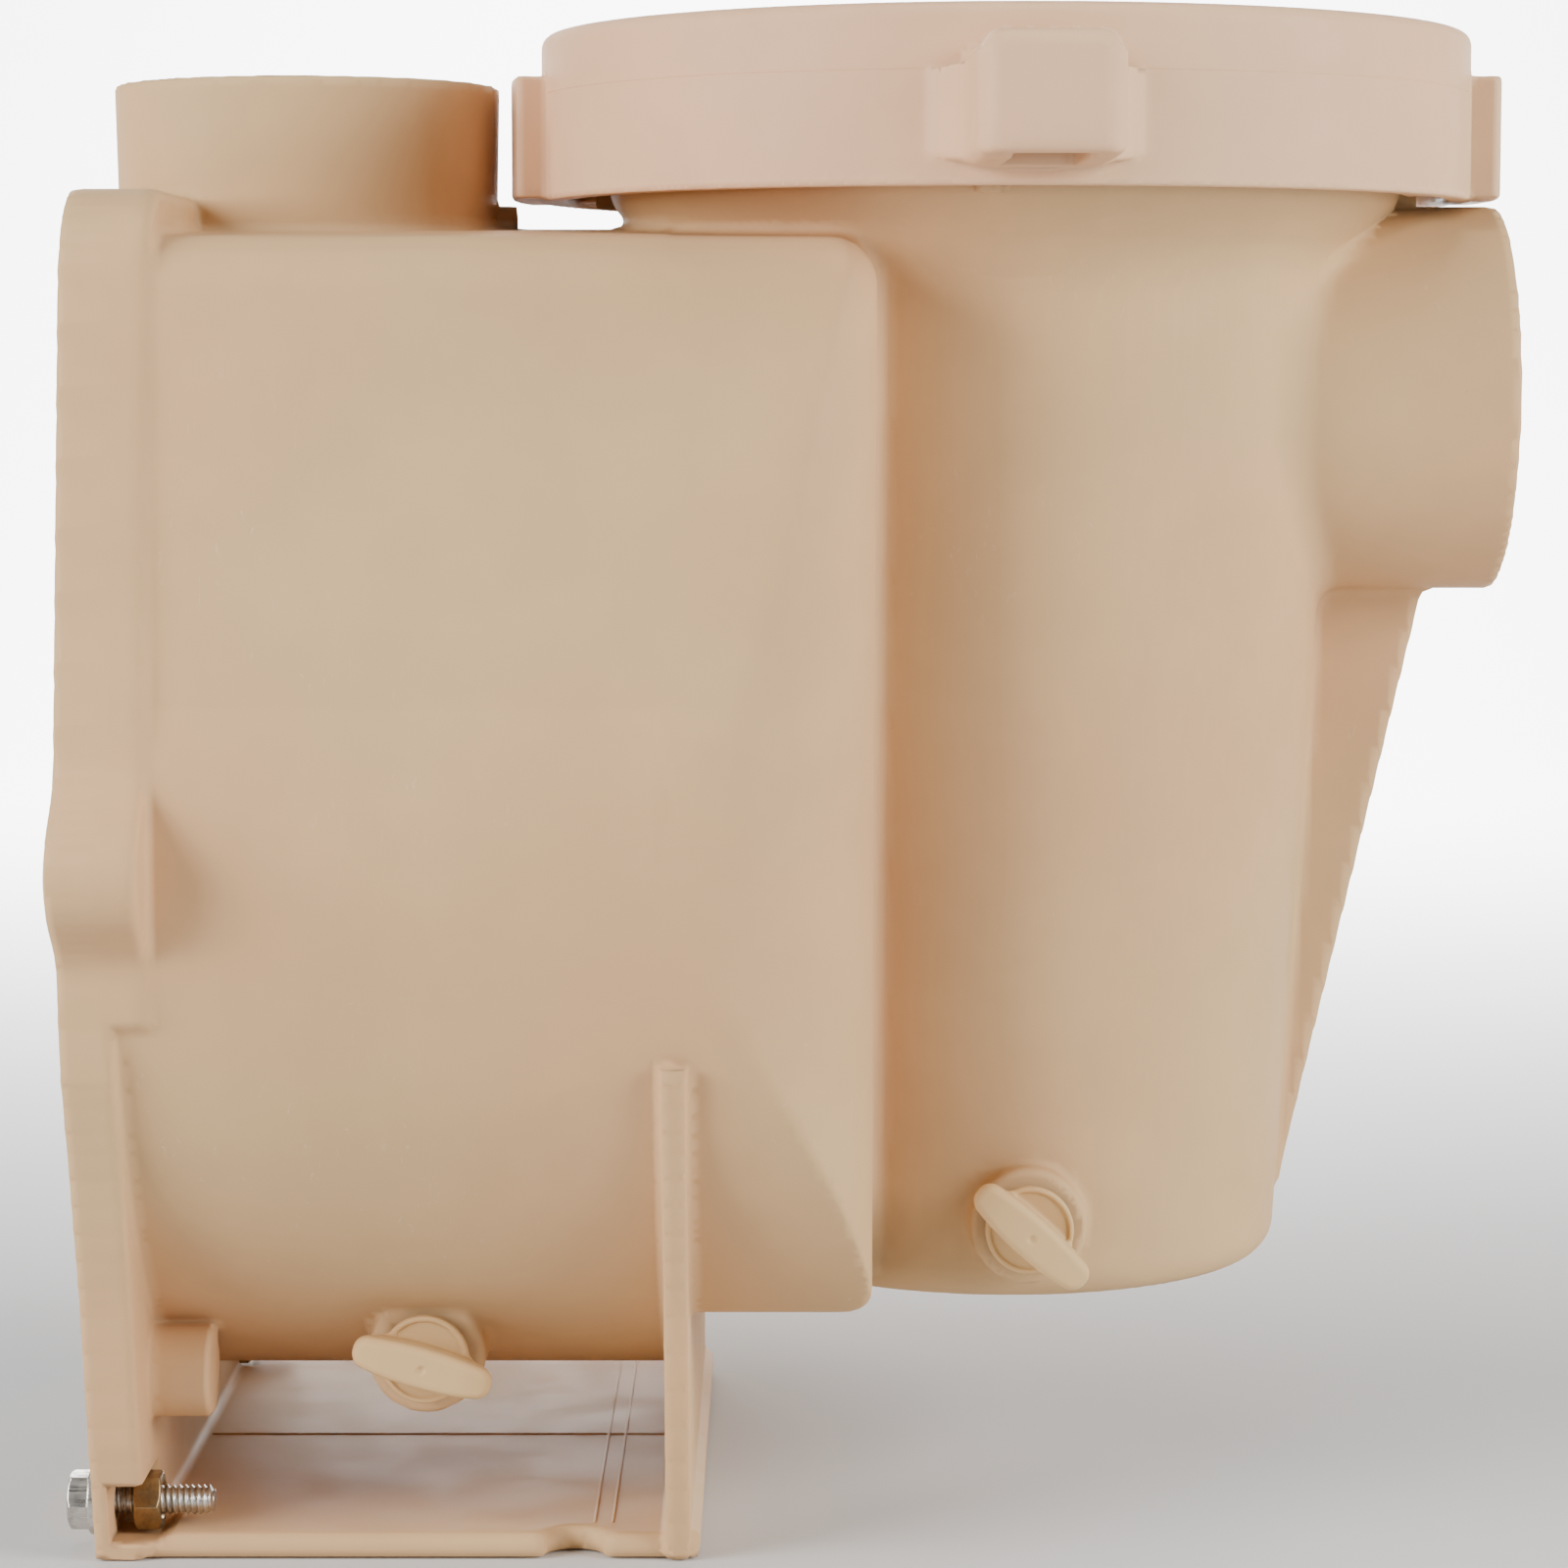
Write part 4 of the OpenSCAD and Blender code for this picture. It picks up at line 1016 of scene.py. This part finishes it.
class WetEndSizes(bpy.types.PropertyGroup):
    """Mesh fineness and studio sizes."""

    case_cell: FloatProperty(
        name="Case mesh", description="Size of the faces on the case", default=0.002,
        min=0.001, max=0.006, unit="LENGTH",
    )
    ring_cell: FloatProperty(
        name="Ring mesh", description="Size of the faces on the clamp ring", default=0.0014,
        min=0.0008, max=0.004, unit="LENGTH",
    )
    fastener_cell: FloatProperty(
        name="Fastener mesh", description="Size of the faces on bolts, nuts and washers",
        default=0.00032, min=0.0002, max=0.001, unit="LENGTH",
    )
    plug_cell: FloatProperty(
        name="Plug mesh", description="Size of the faces on the winged plugs", default=0.00045,
        min=0.0003, max=0.001, unit="LENGTH",
    )
    bead_count: IntProperty(
        name="Handle beads", description="Beads along the top of each handle", default=5,
        min=0, max=9,
    )
    key_power: FloatProperty(
        name="Left light", description="Power of the large light above on the left",
        default=38.0, min=0, unit="POWER",
    )
    fill_power: FloatProperty(
        name="Right light", description="Power of the large light above on the right",
        default=35.0, min=0, unit="POWER",
    )
    top_power: FloatProperty(
        name="Top light", description="Power of the light overhead", default=6.0, min=0,
        unit="POWER",
    )
    wall_power: FloatProperty(
        name="Wall light", description="Power of the light on the sweep's back wall",
        default=250.0, min=0, unit="POWER",
    )
    surround: FloatProperty(
        name="Surround", description="Brightness of the white surround", default=0.08,
        min=0, max=10,
    )


def sizes():
    return bpy.context.scene.wet_end_sizes


# ---------------------------------------------------------------- operators

class WETEND_OT_case(bpy.types.Operator):
    """Builds the one-piece pot and volute case, with the threads in its ports"""

    bl_idname = "wetend.case"
    bl_label = "Case"

    def execute(self, context):
        case = skin(
            "pot_and_volute_case", case_shape, (-7, -137, -3), (302, 137, 310),
            sizes().case_cell * MM,
        )
        dress(case, "case_plastic", "housing", *CASE_NODES)
        lines = skin("foot_mould_lines", mould_lines, (12, -84, 3.6), (120, 84, 6), 0.4, 1)
        dress(lines, "case_plastic", "housing")
        for name, centre, axis, face in (
            ("discharge_port_thread", (DISCHARGE_X, 0), "z", DISCHARGE_TOP),
            ("suction_port_thread", (0, SUCTION_Z), "x", CASE_LENGTH),
        ):
            dress(port_thread(name, centre, axis, face), "case_plastic", "housing")
        return {"FINISHED"}


class WETEND_OT_clamp_ring(bpy.types.Operator):
    """Builds the clamp ring with its handles, tabs, lugs, beads and parting line"""

    bl_idname = "wetend.clamp_ring"
    bl_label = "Clamp ring"

    def execute(self, context):
        ring = skin(
            "clamp_ring_moulding", ring_shape, (POT_X - 110, -149, 279), (POT_X + 110, 149, 319),
            sizes().ring_cell * MM,
        )
        dress(ring, "ring_plastic", "clamp_ring", "clamp_ring")
        root, crest = RING_R - 0.3, RING_R + 0.16
        section = [(root, 303.6), (crest, 303.85), (crest, 304.05), (root, 304.3)]
        line = lathe("ring_parting_line", section, (POT_X, 0))
        dress(line, "ring_plastic", "clamp_ring")
        beads = []
        count = sizes().bead_count
        for side in (-1, 1):
            turn = math.radians(side * 90 + HANDLE_LEAD)
            for i in range(count):
                across = (i - (count - 1) / 2) * BEAD_PITCH
                centre = np.array([
                    POT_X + BEAD_OUT * math.cos(turn) - across * math.sin(turn),
                    BEAD_OUT * math.sin(turn) + across * math.cos(turn),
                    BEAD_Z,
                ])
                beads.append(skin(
                    f"bead_{side}_{i}", lambda u, v, w, turn=turn: bead_shape(u, v, w, turn),
                    (-3.2, -3.2, -1.6), (3.2, 3.2, 1.6), 0.3, 1,
                    lambda points, normals, centre=centre: (points + centre, normals),
                ))
        if beads:
            dress(merged("handle_beads", beads), "ring_plastic", "clamp_ring")
        return {"FINISHED"}


class WETEND_OT_plugs(bpy.types.Operator):
    """Builds the two winged drain plugs"""

    bl_idname = "wetend.plugs"
    bl_label = "Drain plugs"

    def execute(self, context):
        drains = (("pot", POT_DRAIN), ("volute", VOLUTE_DRAIN))
        for (name, at), angle in zip(drains, WING_ANGLES):
            plug = skin(
                f"{name}_winged_plug",
                lambda u, v, w, angle=angle: wing_plug_shape(u, v, w, angle),
                (-16.5, -16.5, -15.5), (16.5, 16.5, 14.5), sizes().plug_cell * MM, 1,
                standing_out(at),
            )
            dress(plug, "plug_plastic", f"{name}_plug", f"{name}_drain_plug")
        return {"FINISHED"}


def copies(name, shape, span, reach, places, slot, node):
    """Meshes a fastener at each place and joins the copies into one piece."""
    made = [
        skin(
            f"{name}_{i}", shape, (-reach, -reach, span[0]), (reach, reach, span[1]),
            sizes().fastener_cell * MM, 1, along_shaft(y, z),
        )
        for i, (y, z) in enumerate(places)
    ]
    return dress(merged(name, made), slot, "housing", node)


class WETEND_OT_fasteners(bpy.types.Operator):
    """Builds the bolts, washers and nuts of the foot and of the seal plate"""

    bl_idname = "wetend.fasteners"
    bl_label = "Fasteners"

    def execute(self, context):
        foot = [(side * FOOT_BOLT_YZ[0], FOOT_BOLT_YZ[1]) for side in (-1, 1)]
        plate = [(across, SHAFT_Z + up) for across, up in PLATE_HOLES]
        copies(
            "foot_hex_bolts", lambda u, v, w: hex_bolt_shape(u, v, w, *FOOT_BOLT),
            (-7.5, 24.5), 7.4, foot, "steel", "foot_bolts",
        )
        copies(
            "foot_plain_washers", lambda u, v, w: washer_shape(u, v, w, *FOOT_WASHER),
            (-3.2, 1), 8.2, foot, "steel", "foot_washers",
        )
        copies(
            "foot_hex_nuts", lambda u, v, w: hex_nut_shape(u, v, w, *FOOT_NUT),
            (6.2, 13.8), 7.4, foot, "brass", "foot_nuts",
        )
        copies(
            "plate_hex_bolts", lambda u, v, w: hex_bolt_shape(u, v, w, *PLATE_BOLT),
            (-0.3, 17), 7.4, plate, "steel", "plate_bolts",
        )
        copies(
            "plate_plain_washers", lambda u, v, w: washer_shape(u, v, w, *PLATE_WASHER),
            (2.6, 5.5), 8.2, plate, "steel", "plate_washers",
        )
        return {"FINISHED"}


class WETEND_OT_seal_plate(bpy.types.Operator):
    """Builds the seal plate that closes the motor side"""

    bl_idname = "wetend.seal_plate"
    bl_label = "Seal plate"

    def execute(self, context):
        plate = skin("seal_plate_moulding", seal_plate_shape, (-2, -134, 22), (26, 134, 280), 1.5)
        dress(plate, "black_plastic", "housing", "seal_plate")
        return {"FINISHED"}


class WETEND_OT_lid(bpy.types.Operator):
    """Builds the clear domed lid"""

    bl_idname = "wetend.lid"
    bl_label = "Lid"

    def execute(self, context):
        rim = LIP_Z + 2
        ledge, groove, spigot = rim + 5.2, rim + 1.4, rim - 7
        dome = [(r, rim + 9.8 - (r / 78) ** 2 * 4.4) for r in (0.03, *range(8, 73, 8))]
        under = [(r, rim + 3.5 - (r / 62) ** 2 * 2.5) for r in (*range(62, 13, -8), 7, 0.03)]
        profile = (
            dome
            + [(76, rim + 5.5), (78, ledge), (91.2, ledge), (91.8, rim + 5)]
            + [(92, rim + 4.4), (92, rim + 0.7), (91.4, rim)]
            + [(85.2, rim), (85.2, groove), (81.6, groove), (81.6, rim), (77.8, rim)]
            + [(77.8, rim - 6.4), (77.2, spigot), (73.6, spigot), (73, rim - 6.6)]
            + under
        )
        lid = lathe("clear_lid", profile[::-1], (POT_X, 0), 256)
        dress(lid, "clear_plastic", "lid", "lid")
        return {"FINISHED"}


class WETEND_OT_inner_parts(bpy.types.Operator):
    """Gives every part kept from the CAD its finish"""

    bl_idname = "wetend.inner_parts"
    bl_label = "Inner parts"

    def execute(self, context):
        slots = {s["node"]: s["material_slot"] for s in frame["record"]["subparts"]}
        for name, node in NODES.items():
            if not node.hide_render:
                node.data.materials.clear()
                node.data.materials.append(finish_for(slots[name]))
        return {"FINISHED"}


SWEEP_HALF = 3.5
SWEEP_BEND_R = 0.9
FLOOR_GAP = 0.0004
CAMERA_AT = (-0.00355, -0.9443, 0.2464)
CAMERA_TILT = 84.342
SENSOR_WIDTH = 36.0
FOCAL_LENGTH = 97.73


def area_light(name, at, towards, size, power):
    light = bpy.data.lights.new(name, "AREA")
    light.shape, light.size, light.size_y = "RECTANGLE", size[0], size[1]
    light.energy = power
    lamp = bpy.data.objects.new(name, light)
    lamp.location = at
    lamp.rotation_euler = (Vector(towards) - Vector(at)).to_track_quat("-Z", "Y").to_euler()
    bpy.context.scene.collection.objects.link(lamp)


class WETEND_OT_stage(bpy.types.Operator):
    """Sets the pale sweep, the soft lights and the camera"""

    bl_idname = "wetend.stage"
    bl_label = "Stage"

    def execute(self, context):
        r = SWEEP_BEND_R
        bend = [
            (1.6 + r * math.sin(t), r - r * math.cos(t) - FLOOR_GAP)
            for t in np.linspace(0, math.pi / 2, 24)
        ]
        curve = [(-3.0, -FLOOR_GAP), *bend, (2.5, 3.2)]
        points = [(side * SWEEP_HALF, y, z) for y, z in curve for side in (-1, 1)]
        faces = [(2 * i, 2 * i + 1, 2 * i + 3, 2 * i + 2) for i in range(len(curve) - 1)]
        sweep = add_object("studio_sweep", new_mesh("studio_sweep", points, faces, 4))
        f = Finish("studio_paper")
        paper = f.ramp(f.noise(6, 2), 0.3, 0.7, 0.99, 1.0)
        colour = context.scene.wet_end_colours.floor
        f.set(Base_Color=f.mix(1.0, rgba(colour), f.grey(paper), "MULTIPLY"), Roughness=0.9)
        sweep.data.materials.append(f.material)

        s = sizes()
        world = bpy.data.worlds.new("white_surround")
        world.use_nodes = True
        background = world.node_tree.nodes["Background"].inputs
        background["Color"].default_value = (1, 1, 1, 1)
        background["Strength"].default_value = s.surround
        context.scene.world = world
        middle = (0, 0, 0.16)
        area_light("left_box", (-1.3, -0.8, 0.62), middle, (0.9, 0.8), s.key_power)
        area_light("right_box", (1.35, -0.65, 0.62), middle, (0.9, 0.8), s.fill_power)
        area_light("top_box", (0, -0.15, 1.4), middle, (1.0, 0.3), s.top_power)
        area_light("wall_box", (0, 1.3, 1.1), (0, 2.2, 0.1), (1.4, 0.4), s.wall_power)

        lens = bpy.data.cameras.new("view")
        lens.sensor_width, lens.lens = SENSOR_WIDTH, FOCAL_LENGTH
        lens.clip_start = 0.01
        camera = bpy.data.objects.new("view", lens)
        camera.location = CAMERA_AT
        camera.rotation_euler = (math.radians(CAMERA_TILT), 0, 0)
        context.scene.collection.objects.link(camera)
        context.scene.camera = camera
        return {"FINISHED"}


STEPS = (
    WETEND_OT_case, WETEND_OT_clamp_ring, WETEND_OT_plugs, WETEND_OT_fasteners,
    WETEND_OT_seal_plate, WETEND_OT_lid, WETEND_OT_inner_parts, WETEND_OT_stage,
)


class WETEND_PT_panel(bpy.types.Panel):
    """Lists the settings and the building steps"""

    bl_idname = "WETEND_PT_panel"
    bl_label = "Wet end"
    bl_space_type = "VIEW_3D"
    bl_region_type = "UI"
    bl_category = "Wet end"

    def draw(self, context):
        for group in (context.scene.wet_end_sizes, context.scene.wet_end_colours):
            box = self.layout.box()
            for key in group.__annotations__:
                box.prop(group, key)
        for step in STEPS:
            self.layout.operator(step.bl_idname)


CLASSES = (WetEndColours, WetEndSizes, *STEPS, WETEND_PT_panel)


def register():
    for item in CLASSES:
        bpy.utils.register_class(item)
    bpy.types.Scene.wet_end_colours = PointerProperty(type=WetEndColours)
    bpy.types.Scene.wet_end_sizes = PointerProperty(type=WetEndSizes)


def unregister():
    del bpy.types.Scene.wet_end_sizes
    del bpy.types.Scene.wet_end_colours
    for item in reversed(CLASSES):
        bpy.utils.unregister_class(item)


def main():
    register()
    bpy.ops.wetend.case()
    bpy.ops.wetend.clamp_ring()
    bpy.ops.wetend.plugs()
    bpy.ops.wetend.fasteners()
    bpy.ops.wetend.seal_plate()
    bpy.ops.wetend.lid()
    bpy.ops.wetend.inner_parts()
    bpy.ops.wetend.stage()


if __name__ == "__main__":
    main()
